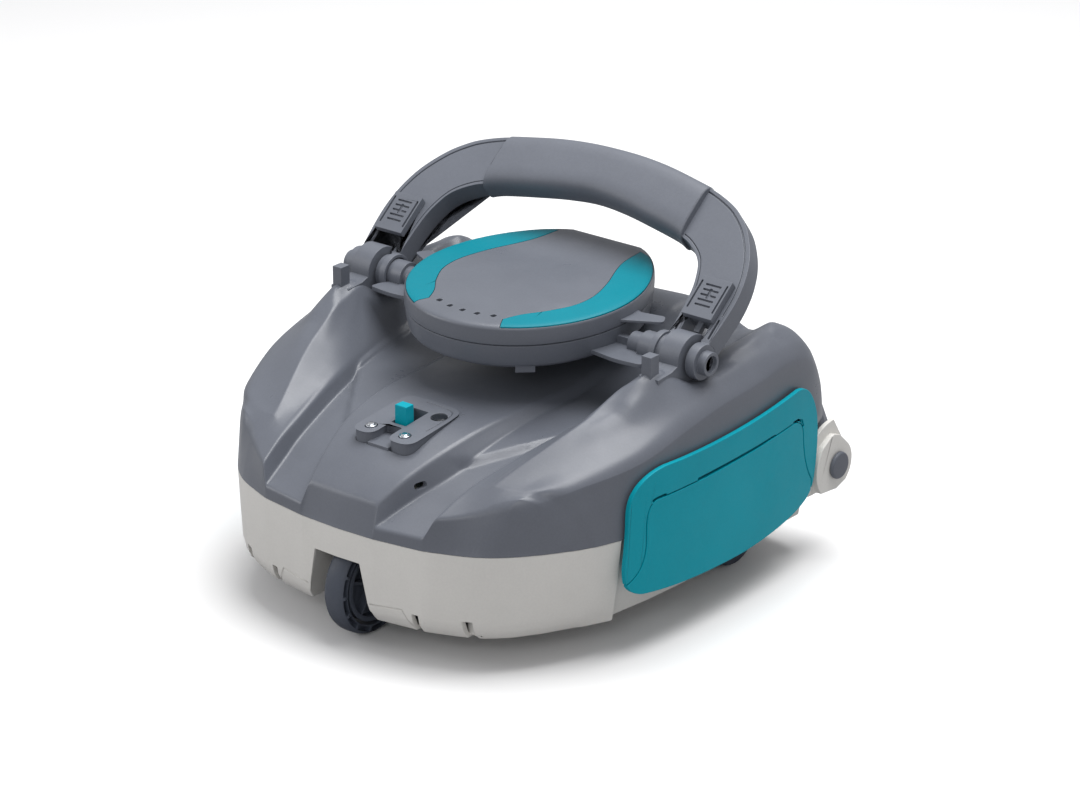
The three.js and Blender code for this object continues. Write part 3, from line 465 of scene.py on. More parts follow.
SLATE = moulded("slate_plastic", "666a73", 0.34, grain=1700, grain_depth=0.05)
SLATE_SATIN = moulded("slate_satin", "656972", 0.42, grain=1300, grain_depth=0.12)
DARK_SLATE = moulded("dark_slate_plastic", "5c6069", 0.44, grain=1500, grain_depth=0.08)
GRIP_SLATE = moulded("grip_slate", "666a73", 0.5, grain=1100, grain_depth=0.16)
TEAL = moulded(
    "teal_plastic", "009cae", 0.4, grain=1600, grain_depth=0.05, mottle=0.05, wear=0.03, specular=0.18,
)
TEAL_TOP = moulded(
    "teal_accent_plastic", "007f8f", 0.42, grain=1600, grain_depth=0.05, mottle=0.05, wear=0.03, specular=0.18,
)
BASE_GREY = moulded("light_grey_plastic", "dddbd6", 0.46, grain=1500, grain_depth=0.07, mottle=0.035, wear=0.1)
RUBBER = moulded("wheel_rubber", "454b57", 0.5, grain=1300, grain_depth=0.14)
STEEL = moulded(
    "brushed_steel", "c4c7cc", 0.26, grain=2200, grain_depth=0.05, metallic=1.0, mottle=0.05,
    stretch=(1, 6, 6), wear=0.0,
)
CHROME = moulded("contact_chrome", "dfe3e8", 0.16, grain=2400, grain_depth=0.02, metallic=1.0, mottle=0.03, wear=0.0)
BOARD = moulded("circuit_board", "1f6b45", 0.45, grain=700, grain_depth=0.2, mottle=0.15)
CELLS = moulded("cell_wrap", "2f5f9e", 0.3, grain=500, grain_depth=0.06, coat=0.3)
MESH_WHITE = moulded("basket_white", "dcdedc", 0.5, grain=900, grain_depth=0.12)
FOAM = moulded("closed_foam", "e6e2d6", 0.9, grain=800, grain_depth=0.5, mottle=0.08)
LENS = moulded("smoked_lens", "2b2f35", 0.12, grain=2500, grain_depth=0.01, coat=0.6, mottle=0.1, wear=0.0)
DARK_GAP = moulded("shadow_black", "17191c", 0.7, grain=900, grain_depth=0.1)

# ------------------------------------------------------------------ upper shell
# Eleven lines run from the front seam over the top to the rear seam, one point per station.
SHELL_LINES = [
    [(0, -9.6, 70), (0, -2, 90), (0, 20, 101.5), (0, 48, 112.4), (0, 85, 119), (0, 125, 121),
     (0, 165, 122), (0, 205, 130), (0, 240, 146), (0, 266, 144), (0, 290, 112), (0, 299.5, 82)],
    [(26.6, -8.6, 70), (26.6, -1.6, 90), (33, 20, 101), (39.5, 48, 111), (43.5, 85, 117.5),
     (45, 125, 119), (47, 165, 121), (50, 205, 133), (52, 240, 149), (52, 266, 146),
     (50, 289, 112), (50, 299, 82)],
    [(28, -8.5, 70), (28.6, -7.6, 77), (37, 20, 87.5), (47, 47, 98), (50.5, 85, 107),
     (51.5, 125, 112.5), (54, 165, 117), (60, 205, 133), (64, 240, 148), (64, 266, 145),
     (62, 288.5, 112), (60, 298.5, 82)],
    [(61, -3.4, 70), (61.4, -2.6, 77.4), (66, 20, 86.5), (69.5, 40, 95), (78, 85, 106.5),
     (86, 125, 112), (90, 165, 117), (88, 205, 131), (84, 240, 146), (83, 264, 143),
     (80, 289, 112), (76, 298.2, 82)],
    [(66.5, -1.4, 70), (66.9, 1.7, 89.8), (69.6, 20, 98.5), (73, 42, 105.5), (82, 85, 115),
     (91, 125, 120), (97, 165, 124), (97, 205, 132), (96, 240, 141), (95, 262, 139),
     (91, 288.4, 112), (87, 297.8, 82)],
    [(76, 2.3, 70), (76.6, 8, 91.5), (78, 26, 101), (80.4, 42, 106.6), (91, 87, 121),
     (101, 128, 132), (106, 165, 136), (105, 205, 137), (105, 240, 139), (104, 262, 137),
     (99, 287.6, 112), (96, 297.4, 82)],
    [(86, 6.5, 70), (86.4, 15, 94), (87, 30, 104), (88, 39.6, 108.9), (105.6, 90, 132),
     (113, 140, 147), (116, 166, 140.6), (117, 205, 144.5), (116, 240, 143.5), (115, 263, 141),
     (112, 286, 114), (107, 296.8, 82)],
    [(96, 12.4, 70), (97, 22, 98), (99, 32, 104.6), (103, 46, 110), (120, 94, 130),
     (126, 138, 144), (128, 166, 140.2), (128, 205, 144.5), (128, 240, 148.5), (128, 264, 145),
     (127, 287, 117), (122, 295.6, 82)],
    [(109, 23.9, 70), (109.4, 29, 100.5), (115.6, 39, 104.4), (126, 53, 109.6),
     (143.4, 95, 118.5), (146.6, 138, 128), (147, 166, 132), (146.4, 205, 134.5),
     (144.6, 240, 137), (141.6, 267, 131), (138.6, 283.5, 111), (136, 290.4, 82)],
    [(121, 39, 70), (121, 40, 88), (126, 48, 94), (133, 61, 99), (145.4, 96, 106),
     (149, 138, 113), (149.6, 166, 116), (149.2, 205, 117), (147.2, 240, 116), (145.6, 262, 111),
     (143.4, 278, 97), (140.6, 286, 82)],
    [(128, 49.7, 70), (131, 54, 70), (134, 60, 70), (138.6, 70, 70), (146, 97, 70),
     (149.6, 138, 70), (150.2, 166, 70), (149.8, 205, 70), (147.6, 238, 72), (146.2, 256, 75),
     (144.9, 269, 78), (142.8, 279.5, 81)],
]
LINE_NAMES = (
    "deck_centre", "deck_edge", "groove_in", "groove_out", "groove_top", "bowl", "ridge", "facet",
    "crease", "wall", "seam",
)
STATION_STEPS = [5, 8, 10, 12, 12, 12, 12, 12, 10, 10, 8]
SPAN_STEPS = [10, 5, 10, 5, 6, 9, 7, 9, 9, 9]
# How crisp the front lip is on each line, and how crisp each line is at each station.
LIP_SHARPNESS = [1, 1, 1, 1, 1, 1, 0.9, 0.7, 0.4, 0.1, 0]
LIP_RADIUS = [2.6, 2.6, 2.0, 2.0, 2.2, 2.6, 3, 4, 5, 5, 5]
CREST = {
    "deck_centre": [0] * 12,
    "deck_edge": [1] * 7 + [0.8, 0.3, 0, 0, 0],
    "groove_in": [1] * 7 + [0.8, 0.3, 0, 0, 0],
    "groove_out": [1] * 7 + [0.8, 0.3, 0, 0, 0],
    "groove_top": [1] * 6 + [0.7, 0.4, 0.1, 0, 0, 0],
    "bowl": [0] * 12,
    "ridge": [0.3, 0.4, 0.7, 1, 1, 0.85, 0.4, 0.2, 0, 0, 0, 0],
    "facet": [0, 0, 0, 0.2, 0.3, 0.2, 0, 0, 0, 0, 0, 0],
    "crease": [0, 0, 0, 0.1, 0.3, 0.3, 0.2, 0.2, 0.1, 0, 0, 0],
    "wall": [0] * 12,
    "seam": [0] * 12,
}
CREST_RADIUS = {
    "deck_centre": 3, "deck_edge": 2.4, "groove_in": 1.6, "groove_out": 1.8, "groove_top": 2.2,
    "bowl": 4, "ridge": 1.5, "facet": 4, "crease": 5, "wall": 4, "seam": 1,
}


def seam_z(y):
    return SEAM_Z + 12 * max(0.0, (y - 205) / 95) ** 1.4


def bump_along(x, y, path, width, height):
    """Height of a soft rib that follows a path in plan and fades at both ends."""
    best = None
    total = sum(math.dist(a, b) for a, b in zip(path, path[1:]))
    run = 0.0
    for a, b in zip(path, path[1:]):
        length = math.dist(a, b)
        t = ((x - a[0]) * (b[0] - a[0]) + (y - a[1]) * (b[1] - a[1])) / length ** 2
        t = min(max(t, 0.0), 1.0)
        gap = math.dist((x, y), lerp(a, b, t))
        if best is None or gap < best[0]:
            best = (gap, (run + t * length) / total)
        run += length
    gap, along = best
    return height * math.exp(-(gap / width) ** 2) * math.sin(math.pi * along) ** 0.7


RIBS = [
    # path in plan, width, height
    ([(0, 0), (0, 95)], 34, 2.4),
    ([(121, 106), (121, 160)], 9.5, 6),
    ([(122, 120), (129, 146), (137, 168), (139, 200), (140, 226), (134, 244)], 4.6, 2.4),
    ([(108, 238), (122, 252), (135, 243)], 5, 2),
    ([(104, 96), (112, 118), (120, 128), (126, 150)], 4.5, 2.2),
    ([(112, 80), (124, 110), (134, 140), (138, 178)], 6.0, 1.6),
    ([(122, 184), (130, 200), (131, 222), (124, 246)], 6.0, 2.4),
    ([(108, 190), (112, 215), (110, 245)], 5.0, -2.6),
]


def groove_share(i):
    """1 on the groove floor, falling to 0 at the top of its two walls."""
    inner = SPAN_STEPS[0] + 4
    floor_start = inner + SPAN_STEPS[1]
    floor_end = floor_start + SPAN_STEPS[2] + 8
    outer = floor_end + SPAN_STEPS[3]
    if i <= inner or i >= outer:
        return 0.0
    if i < floor_start:
        return (i - inner) / (floor_start - inner)
    if i > floor_end:
        return (outer - i) / (outer - floor_end)
    return 1.0


def groove_step(x, y):
    """The groove floor steps up behind a slanting line, then settles back."""
    beyond = (x - 46.5) * -0.826 + (y - 50) * 0.566
    return 2.8 * smooth(beyond / 2.4) * (1 - smooth((beyond - 5) / 60))


def shell_surface():
    lines = []
    for k, line in enumerate(SHELL_LINES):
        crisp = [0, LIP_SHARPNESS[k]] + [0] * (len(line) - 2)
        radius = [1, LIP_RADIUS[k]] + [2] * (len(line) - 2)
        lines.append(feature_curve(line, crisp, radius, STATION_STEPS))
    # Fractional station number of every point, to look up how crisp each line is there.
    numbers = []
    for i, steps in enumerate(STATION_STEPS):
        numbers += [i] * 5 if i else [0]
        numbers += [i + k / steps for k in range(1, steps)]
    numbers.append(len(STATION_STEPS))
    rows = []
    for j, station in enumerate(numbers):
        across = [line[j] for line in lines]
        low = min(int(station), len(SHELL_LINES[0]) - 2)
        part = station - low
        crisp = [CREST[n][low] * (1 - part) + CREST[n][low + 1] * part for n in LINE_NAMES]
        radius = [CREST_RADIUS[n] for n in LINE_NAMES]
        row = feature_curve(across, crisp, radius, SPAN_STEPS, mirror_start=True)
        done = []
        for i, (x, y, z) in enumerate(row):
            lift = sum(bump_along(x, y, *rib) for rib in RIBS)
            lift += groove_share(i) * groove_step(x, y)
            done.append((x, y, max(z + lift, seam_z(y))))
        rows.append(done)
    return rows


def build_shell():
    right = shell_surface()
    rows = [[(-x, y, z) for x, y, z in row[:0:-1]] + row for row in right]
    shell = skin("upper_shell_form", rows, closed=False, caps=False)
    thick = shell.modifiers.new("wall", "SOLIDIFY")
    thick.thickness = 0.0026
    thick.offset = -1
    thick.use_even_offset = False
    bake(shell)
    # Stop the wall at the seam plane.
    ys = [-60, 60, 150, 205, 220, 235, 250, 265, 280, 300, 340]
    outline = [(y, seam_z(y)) for y in ys] + [(340, 10), (-60, 10)]
    cut(shell, prism("seam_cut", outline, -200, 200, along="x"))
    window = grown(rounded(PAD_OUTLINE, PAD_CORNERS), 0.35)
    cut(shell, prism("pad_window", window, 80, 140))
    cut(shell, prism("outlet_hole", circle(0, 96, 12.9, 40), 270, 320, along="y"))
    for side in (-1, 1):
        slot = rounded([(21, 92.6), (28.5, 93.6), (28.5, 97.6), (21, 96.6)], 1.9)
        ends = sorted((side * 30, side * 52))
        cut(shell, prism("vent_slot", slot, *ends, along="x"))
    return shell


PAD_OUTLINE = [
    (-21, 30.4), (-21, 47), (-20.6, 66), (-19.6, 80), (-8, 81.6), (10, 81.6), (22.4, 79.6),
    (23.4, 66), (23.6, 47), (23.6, 30.4),
]
PAD_CORNERS = [7, 3, 3, 7, 3, 5, 11, 5, 3, 8]

shell = build_shell()
EAR_INNER = [(270, 100), (292, 98), (302, 56), (280, 50)]
EAR_OUTER = [(279, 66), (292, 64), (302, 54), (280, 50)]
for side in (-1, 1):
    ends = sorted((side * 132, side * 142.2))
    disc = bar_x("ear_disc", 11.5, *ends, 291, 50)
    inner_side = [(side * 131, y, z) for y, z in EAR_INNER]
    outer_side = [(side * 142.2, y, z) for y, z in EAR_OUTER]
    ear = skin("ear", [inner_side, outer_side])
    join(shell, join(ear, disc))
finish_edges(shell, width=0.0)
place_piece(shell, "shell", SLATE, "upper_shell")

# ------------------------------------------------------------------ control pad
PAD_SHAPE = [
    (-6.2, 46), (-6.2, 30.4), (-21, 30.4), (-21, 47), (-20.6, 66), (-19.6, 80), (-8, 81.6), (10, 81.6),
    (22.4, 79.6), (23.4, 66), (23.6, 47), (23.6, 30.4), (6.2, 30.4), (6.2, 46),
]
PAD_ROUND = [1.2, 7, 7, 3, 3, 7, 3, 5, 11, 5, 3, 8, 7, 1.2]


def pad_top(y):
    return 118.3 + (y - 62) * math.tan(math.radians(6))


def build_pad():
    outline = rounded(PAD_SHAPE, PAD_ROUND)
    rings = []
    for inset, drop in ((0, 20), (0, 1.0), (0.3, 0.35), (0.9, 0)):
        ring = offset(outline, -inset)
        rings.append([(x, y, pad_top(y) - drop) for x, y in ring[::1]])
    pad = skin("control_pad_form", rings)
    cut(pad, block("slot", -5.6, 5.6, 48.5, 69.5, 90, 130))
    lens_seat = prism("lens_seat", circle(15, 68, 5.1, 40), 115.4, 130)
    cut(pad, lens_seat)
    for x in (-13.1, 13.1):
        cut(pad, prism("contact_seat", circle(x, 39, 3.9, 32), 90, 130))
    floor = make("pad_floor", *slab_between(
        [(-8, 29.6), (8, 29.6), (8, 47), (-8, 47)], lambda y: pad_top(y) - 14, lambda y: pad_top(y) - 5.2))
    join(pad, floor)
    # Engraved outline on the open side of the pad.
    path = rounded([(20.4, 50), (20.9, 66), (19.8, 77.2), (8, 79.3), (-4, 79.3)], [0, 5, 9, 3, 0])[0:]
    groove = make("engraved", *ribbon(path, 0.55, lambda y: pad_top(y) - 0.45, lambda y: pad_top(y) + 3))
    cut(pad, groove)
    return pad


def slab_between(outline, low, high):
    n = len(outline)
    points = [(x, y, low(y)) for x, y in outline] + [(x, y, high(y)) for x, y in outline]
    faces = [list(range(n))[::-1], list(range(n, 2 * n))]
    faces += [[i, (i + 1) % n, n + (i + 1) % n, n + i] for i in range(n)]
    return points, faces


def ribbon(path, width, low, high):
    """A thin upright band along an open path, as points and faces."""
    left, right = [], []
    for i, (x, y) in enumerate(path):
        a = path[max(i - 1, 0)]
        b = path[min(i + 1, len(path) - 1)]
        d = Vector((b[0] - a[0], b[1] - a[1]))
        d.normalize()
        left.append((x - d.y * width / 2, y + d.x * width / 2))
        right.append((x + d.y * width / 2, y - d.x * width / 2))
    return slab_between(left + right[::-1], low, high)


pad = build_pad()
finish_edges(pad, width=0.35)
place_piece(pad, "shell", SLATE_SATIN, "control_pad")

# ------------------------------------------------------------------ pod
POD_LIFT = 8
POD_NARROW = 0.977


def pod_place(point):
    """Pod layers rise slightly towards the rear."""
    x, y, z = point
    return metres((x, y, z + POD_LIFT * (y - 93) / 157))


def pod_outline(inset, count=14):
    r = POD_RADIUS - inset
    points = [
        (r * math.cos(a), POD_Y + r * math.sin(a))
        for a in (math.pi + math.pi * k / (count * 3) for k in range(count * 3 + 1))
    ]
    low = 250 - inset
    corner = 28 - inset * 0.6
    points += bezier((r, POD_Y), (r, POD_Y + 38), (48 - inset, low - 8 + inset * 0.4), (corner, low), count)
    points += [lerp((corner, low), (-corner, low), k / 6) for k in range(1, 7)]
    back = bezier((-corner, low), (-48 + inset, low - 8 + inset * 0.4), (-r, POD_Y + 38), (-r, POD_Y), count)
    return [(x * POD_NARROW, y) for x, y in points + back[:-1]]


def pod_ring(inset, z):
    return [(x, y, z) for x, y in pod_outline(inset)]


def pod_disc(scale, z):
    return [(x * scale, 176 + (y - 176) * scale, z) for x, y in pod_outline(4.6)]


def pod_body(name, shift=0.0):
    rings = [
        pod_ring(0.9, POD_SEAM_Z + GAP), pod_ring(0.5, 158.9), pod_ring(0.3, 162.5), pod_ring(0.5, 167.6),
        pod_ring(0.8, 168.6), pod_ring(1.5, 169.4), pod_ring(2.6, 170.0), pod_ring(4.6, 170.5),
    ]
    rings += [pod_disc(s, 170.5 + (1 - s * s) * 1.5) for s in (0.96, 0.9, 0.8, 0.66, 0.5, 0.32, 0.14, 0.03)]
    return skin(name, [[(x, y, z + shift) for x, y, z in ring] for ring in rings], place=pod_place)


# Inner edge of the right teal crescent, from its front tip to its rear tip.
CREST = [(29, 111), (34, 122), (43.5, 135), (51.5, 151), (52.8, 168), (47.5, 188), (39, 208), (34.5, 222), (32.5, 240.5)]


def accent_outline(side):
    """The crescent between its inner edge and the rim of the pod."""
    crest = [(side * x, y) for x, y in CREST]
    high = crest[-1][1]
    start = (side * 30, 101.5)
    rim = [(x, y) for x, y in pod_outline(1.7, 20) if x * side > 27 and start[1] < y < high]
    rim.sort(key=lambda p: p[1])
    inner = spline(crest, 6)
    return rim + inner[::-1]


def build_pod_top():
    cover = pod_body("pod_cover_form")
    inner = skin("inner", [pod_ring(3.2, 150), pod_ring(3.2, 165), pod_ring(8, 167.4)], place=pod_place)
    cut(cover, inner)
    for side, word in ((1, "right"), (-1, "left")):
        outline = accent_outline(side)
        wider = [q if math.dist(p, q) < 1.2 else p for p, q in zip(outline, grown(outline, 0.4))]
        pocket = prism("pocket", wider, 150, 190, place=pod_place)
        cut(cover, cut(pocket, pod_body("below", -1.1)))
        accent = prism(f"pod_accent_{word}_form", outline, 150, 190, place=pod_place)
        overlap(accent, pod_body("above", 0.12))
        cut(accent, pod_body("under", -0.9))
        finish_edges(accent, width=0.22)
        place_piece(accent, "pod", TEAL_TOP, f"pod_accent_{word}")
    for x in (-21, -10.6, 0, 10.6, 21):
        y = POD_Y - math.sqrt(62 ** 2 - x * x)
        mark = rounded([(x - 2.0, y - 1.4), (x + 1.6, y - 1.8), (x + 1.9, y + 1.6), (x - 1.0, y + 1.8)], 0.9, 3)
        cut(cover, prism("light_hole", mark, 160, 190, place=pod_place))
    finish_edges(cover, width=0.2)
    place_piece(cover, "pod", SLATE, "pod_cover")


def build_pod_bottom():
    body = skin("pod_lower_form", [
        pod_ring(16, 143), pod_ring(6.6, 143.2), pod_ring(4.4, 143.7), pod_ring(3.2, 145), pod_ring(2.4, 147.6),
        pod_ring(1.5, 152), pod_ring(0.9, 157.2), pod_ring(1.2, 157.8), pod_ring(3.2, 157.8),
    ], place=pod_place)
    foot = skin("foot", [pod_ring(12, 139.9), pod_ring(10.4, 140.5), pod_ring(10, 143.6)], place=pod_place)
    tab = block("tab", -6, 6, -70.4, -60, 138.8, 143.4, place=lambda p: pod_place((
        p[0] * math.cos(0.66) - p[1] * math.sin(0.66),
        POD_Y + p[0] * math.sin(0.66) + p[1] * math.cos(0.66),
        p[2],
    )))
    join(body, foot, tab)
    rise = [(190, 132.4), (265, 158.2), (265, 115), (190, 115)]
    cut(body, prism("rise", rise, -120, 120, along="x"))
    cavity = skin("cavity", [pod_ring(17, 145.8), pod_ring(4.4, 150), pod_ring(3.4, 175)], place=pod_place)
    cut(cavity, prism("rise_low", [(y, z + 3.2) for y, z in rise], -120, 120, along="x"))
    cut(body, cavity)
    for side in (1, -1):
        def place(p, side=side):
            return metres((side * p[0], p[1], p[2]))
        arm = rounded([(66, 146), (88, 143), (106, 145), (105, 154), (98, 163), (66, 170)], [0, 6, 3, 5, 8, 0])
        fin = rounded([(66, 163), (73, 165), (97.6, 178.6), (93, 187), (77, 184), (66, 188)], [0, 1, 3, 3, 1, 0])
        pieces = [
            prism("gusset", arm, 148.6, 151.2, place=place),
            prism("fin", fin, 164.4, 166, place=place),
            bar_x("hub", 9.6, 93, 106.8, AXIS_Y, AXIS_Z, place=place),
            bar_x("collar", 7.2, 84, 94, AXIS_Y, AXIS_Z, place=place),
            block("rib", 68, 96, AXIS_Y - 2.6, AXIS_Y + 2.6, 147, 156, place=place),
        ]
        for piece in pieces:
            bm = bmesh.new()
            bm.from_mesh(piece.data)
            bmesh.ops.recalc_face_normals(bm, faces=bm.faces)
            bm.to_mesh(piece.data)
            bm.free()
        join(body, *pieces)
        cut(body, bar_x("pin_bore", 4.8, 98, 112, AXIS_Y, AXIS_Z, place=lambda p, side=side: metres((side * p[0], p[1], p[2]))))
    finish_edges(body, width=0.3)
    place_piece(body, "pod", SLATE, "pod_lower")


build_pod_top()
build_pod_bottom()

# ------------------------------------------------------------------ handle
ARM_OUTER = [
    (136, 11), (137.6, 30), (137.4, 45), (134.6, 60), (128.4, 75), (117.4, 90), (106, 99.6),
    (97, 104.6), (86, 108.8), (77.6, 111.2),
]
ARM_INNER = [
    (77.6, 74.2), (84, 71.6), (92, 66.4), (97.4, 61), (100.6, 55), (103.8, 45), (105.2, 35),
    (106, 20), (106, 11),
]


def side_place(side):
    return lambda p: leaned((side * p[0], p[1], p[2]))


def build_arm(side, word):
    place = side_place(side)
    outer = spline(ARM_OUTER, 7)
    inner = spline(ARM_INNER, 6)
    outline = outer + inner
    arm = prism(f"handle_arm_{word}_form", outline, -9, 5, place=place)
    join(
        arm,
        bar_x("eye_outer", 11, 130, 136.6, 0, 0, place=place),
        bar_x("boss", 7.4, 136, 141.8, 0, 0, place=place),
        bar_x("eye_inner", 10.8, 107.2, 112.2, 0, 0, place=place),
        block("leg_outer", 130, 136, 0, 14, -9, 5, place=place),
        block("leg_inner", 106.2, 112, 0, 14, -9, 5, place=place),
    )
    rim = bar_x("flange", 12.5, 103.3, 107.8, 0, 0, place=place)
    join(arm, cut(rim, bar_x("dish", 10.3, 100, 107.2, 0, 0, place=place)))
    cut(
        arm,
        block("fork", POST_X - 8.7, POST_X + 8.7, -1, 24, -20, 20, place=place),
        block("latch_window", POST_X - 8.4, POST_X + 8.4, 12, 50, -20, 20, place=place),
        block("spring_well", POST_X - 5, POST_X + 5, 45, 64, -20, 1.5, place=place),
        bar_x("bore", 4.8, 106, 139.6, 0, 0, place=place),
        bar_x("boss_bore", 5.1, 139.4, 145, 0, 0, place=place),
        bar_x("dish_again", 10.3, 100, 107.2, 0, 0, place=place),
    )
    # Dark line inside each rim, on both faces, and the rail slots of the two legs.
    outer_line = [(x - 3.2, y) if y < 60 else (x - 2.6, y - 2.2) for x, y in spline(ARM_OUTER[1:], 6)]
    inner_line = [(x + 2.2, y) if y < 60 else (x + 1.0, y + 2.2) for x, y in spline(ARM_INNER[:-1], 6)]
    for path, width in ((outer_line, 0.9), (inner_line, 0.5)):
        for low, high in ((3.9, 7), (-12, -7.9)):
            cut(arm, make("rim_line", *ribbon(path, width, lambda y, v=low: v, lambda y, v=high: v), place))
    for x, width in ((133.6, 1.3), (109.0, 1.0)):
        cut(arm, block("rail", x - width / 2, x + width / 2, 13, 27, 2.2, 8, place=place))
    finish_edges(arm, width=0.5)
    place_piece(arm, "handle", SLATE_SATIN, f"handle_arm_{word}")


for side, word in ((1, "right"), (-1, "left")):
    build_arm(side, word)


def build_grip():
    top = spline([(-78, 112.6), (-72, 114.6), (-50, 119.4), (-25, 121.8), (0, 122.4),
                  (25, 121.8), (50, 119.4), (72, 114.6), (78, 112.6)], 8)
    low = spline([(-78, 72), (-65, 75.6), (-37, 80.8), (-18, 84.6), (0, 86.4),
                  (18, 84.6), (37, 80.8), (65, 75.6), (78, 72)], 8)
    rings = []
    for (xt, yt), (xb, yb) in zip(top, low):
        middle, half = (yt + yb) / 2, (yt - yb) / 2
        ring = []
        for k in range(56):
            a = 2 * math.pi * k / 56
            c, s = math.cos(a), math.sin(a)
            ring.append((
                (xt + xb) / 2,
                middle + half * math.copysign(abs(c) ** 0.52, c),
                -2 + 11.6 * math.copysign(abs(s) ** 0.62, s),
            ))
        rings.append(ring)
    grip = skin("handle_grip_form", rings, place=leaned)
    finish_edges(grip, width=0.9, angle=50, segments=3)
    place_piece(grip, "handle", GRIP_SLATE, "handle_grip")


build_grip()

def build_slider(side, word):
    """The plate covers the whole window in the arm, with ribs between two side slots."""
    place = side_place(side)
    slider = block("latch_slider_form", POST_X - 11, POST_X + 11, 23, 50.8, 5.4, 10, place=place)
    join(
        slider,
        block("tongue", POST_X - 7.9, POST_X + 7.9, 24, 44, -5, 5.6, place=place),
        block("bolt", POST_X - 2, POST_X + 2, 17, 26, -2, 2, place=place),
    )
    for offset_x in (-9.2, 9.2):
        x = POST_X + offset_x
        cut(slider, block("slot", x - 0.6, x + 0.6, 27.5, 47.5, 8.2, 12, place=place))
    for k in range(5):
        y = 30.4 + k * 3.6
        cut(slider, block("rib_gap", POST_X - 5.6, POST_X + 5.6, y, y + 1.2, 8.6, 12, place=place))
    cut(slider, block("arrow", POST_X - 0.9, POST_X + 0.9, 36, 43, 8.6, 12, place=place))
    finish_edges(slider, width=0.3)
    place_piece(slider, f"latch_{word[0]}", SLATE_SATIN, f"latch_slider_{word}")


for side, word in ((1, "right"), (-1, "left")):
    build_slider(side, word)


# ------------------------------------------------------------------ base
def build_base():
    base = merged(copy_node("lower_housing", "lower_housing_form"))
    for side in (1, -1):
        for low, high, y in ((51, 59.6, 4.6), (81, 91, 14.4)):
            a, b = sorted((side * low, side * high))
            join(base, block("notch_back", a, b, y, y + 2.4, 16.6, 29))
        trim = [(304, 38), (274, 28.5), (274, -4), (304, -4)]
        cut(base, prism("trim", trim, *sorted((side * 142.7, side * 152)), along="x"))
        line = [(side * 24, 26.6), (side * 46.7, 28.4), (side * 51.6, 19), (side * 54, 14)]
        points, faces = ribbon(line, 0.7, lambda v: -30, lambda v: 10)
        groove = make("line", [(a, c, b) for a, b, c in points], faces)
        skinned = merged(copy_node("lower_housing", "skin"))
        skinned.data.transform(Matrix.Translation((0, 0.0006, 0)))
        cut(base, cut(groove, skinned))
    finish_edges(base, width=0.4)
    place_piece(base, "base", BASE_GREY, "lower_housing")


build_base()


def build_switch():
    switch = copy_node("power_switch", "power_switch_form")
    for v in switch.data.vertices:
        v.co.x *= 0.84
        rise = v.co.z * 1000 + GROUND_Z - 118
        if rise > 0:
            v.co.z -= rise * 0.14 / 1000
    finish_edges(switch, width=0.6)
    place_piece(switch, "switch", TEAL, "power_switch")


build_switch()

# ------------------------------------------------------------------ side panels
PANEL_CURVE = [
    (145.8, 76), (147.2, 84), (149.9, 97), (153, 125), (154.2, 166), (153.8, 205), (152, 240),
    (150.4, 258), (149.2, 272),
]
PANEL = [(80.4, 60)]
PANEL += bezier((80.4, 60), (79, 52), (79.5, 46), (81, 42))
PANEL += quadratic((81, 42), (84, 35), (94, 33))
PANEL += bezier((94, 33), (118, 30), (150, 28), (188, 28.4))
PANEL += quadratic((188, 28.4), (232, 30.5), (250, 36.5))
PANEL += quadratic((250, 36.5), (263, 40), (265.5, 50))
PANEL += quadratic((265.5, 50), (271, 76), (267, 93))
PANEL += quadratic((267, 93), (260, 115), (244, 115))
PANEL += quadratic((244, 115), (180, 108), (112, 110))
PANEL += bezier((112, 110), (92, 109), (82, 100), (82, 84))
PANEL += bezier((82, 84), (82, 74), (81, 66), (80.4, 60))[:-1]
FLAP = [(81.4, 42)]
FLAP += quadratic((81.4, 42), (92, 46), (95, 58))
FLAP += bezier((95, 58), (97, 66), (95.4, 74), (96.4, 80))
FLAP += quadratic((96.4, 80), (98, 90.4), (106, 90.4))
FLAP += [(150, 90.8), (200, 92.4), (238, 94.6)]
FLAP += quadratic((238, 94.6), (249.4, 95), (250.6, 84))
FLAP += quadratic((250.6, 84), (251.6, 64), (262, 50))
FLAP += [(262, 20), (81.4, 20)]
SLITS = [
    [(100.4, 90.4), (104, 91.1), (112, 91.4)],
    [(140, 91.8), (170, 92.5), (200, 93.3), (218.6, 94.1)],
    [(238.6, 95.4), (244, 95.5), (248.8, 93.6), (250.8, 89)],
]


def panel_band(name, side, outward=0.0):
    curve = spline(PANEL_CURVE, 3)
    band = [(x + outward, y) for x, y in curve] + [(x - 3, y) for x, y in curve[::-1]]
    return prism(name, [(side * x, y) for x, y in band], 0, 130)


for side, word in ((1, "right"), (-1, "left")):
    slab = prism(f"side_panel_{word}_form", PANEL, *sorted((side * 135, side * 165)), along="x")
    overlap(slab, panel_band("band", side))
    flap = prism(f"side_flap_{word}_form", FLAP, *sorted((side * 130, side * 170)), along="x")
    overlap(flap, prism("slab_again", PANEL, *sorted((side * 135, side * 165)), along="x"))
    overlap(flap, panel_band("band_again", side))
    room = grown(FLAP, 0.7)
    cut(slab, prism("flap_room", room, *sorted((side * 130, side * 170)), along="x"))
    for path in SLITS:
        points, faces = ribbon(path, 1.7, lambda v: 130, lambda v: 170)
        points = [(side * c, a, b) for a, b, c in points]
        cut(slab, make("slit", points, faces))
    finish_edges(slab, width=0.45, segments=3)
    finish_edges(flap, width=0.4, segments=3)
    place_piece(slab, "shell", TEAL, f"side_panel_{word}")
    place_piece(flap, f"flap_{word[0]}", TEAL, f"side_flap_{word}")

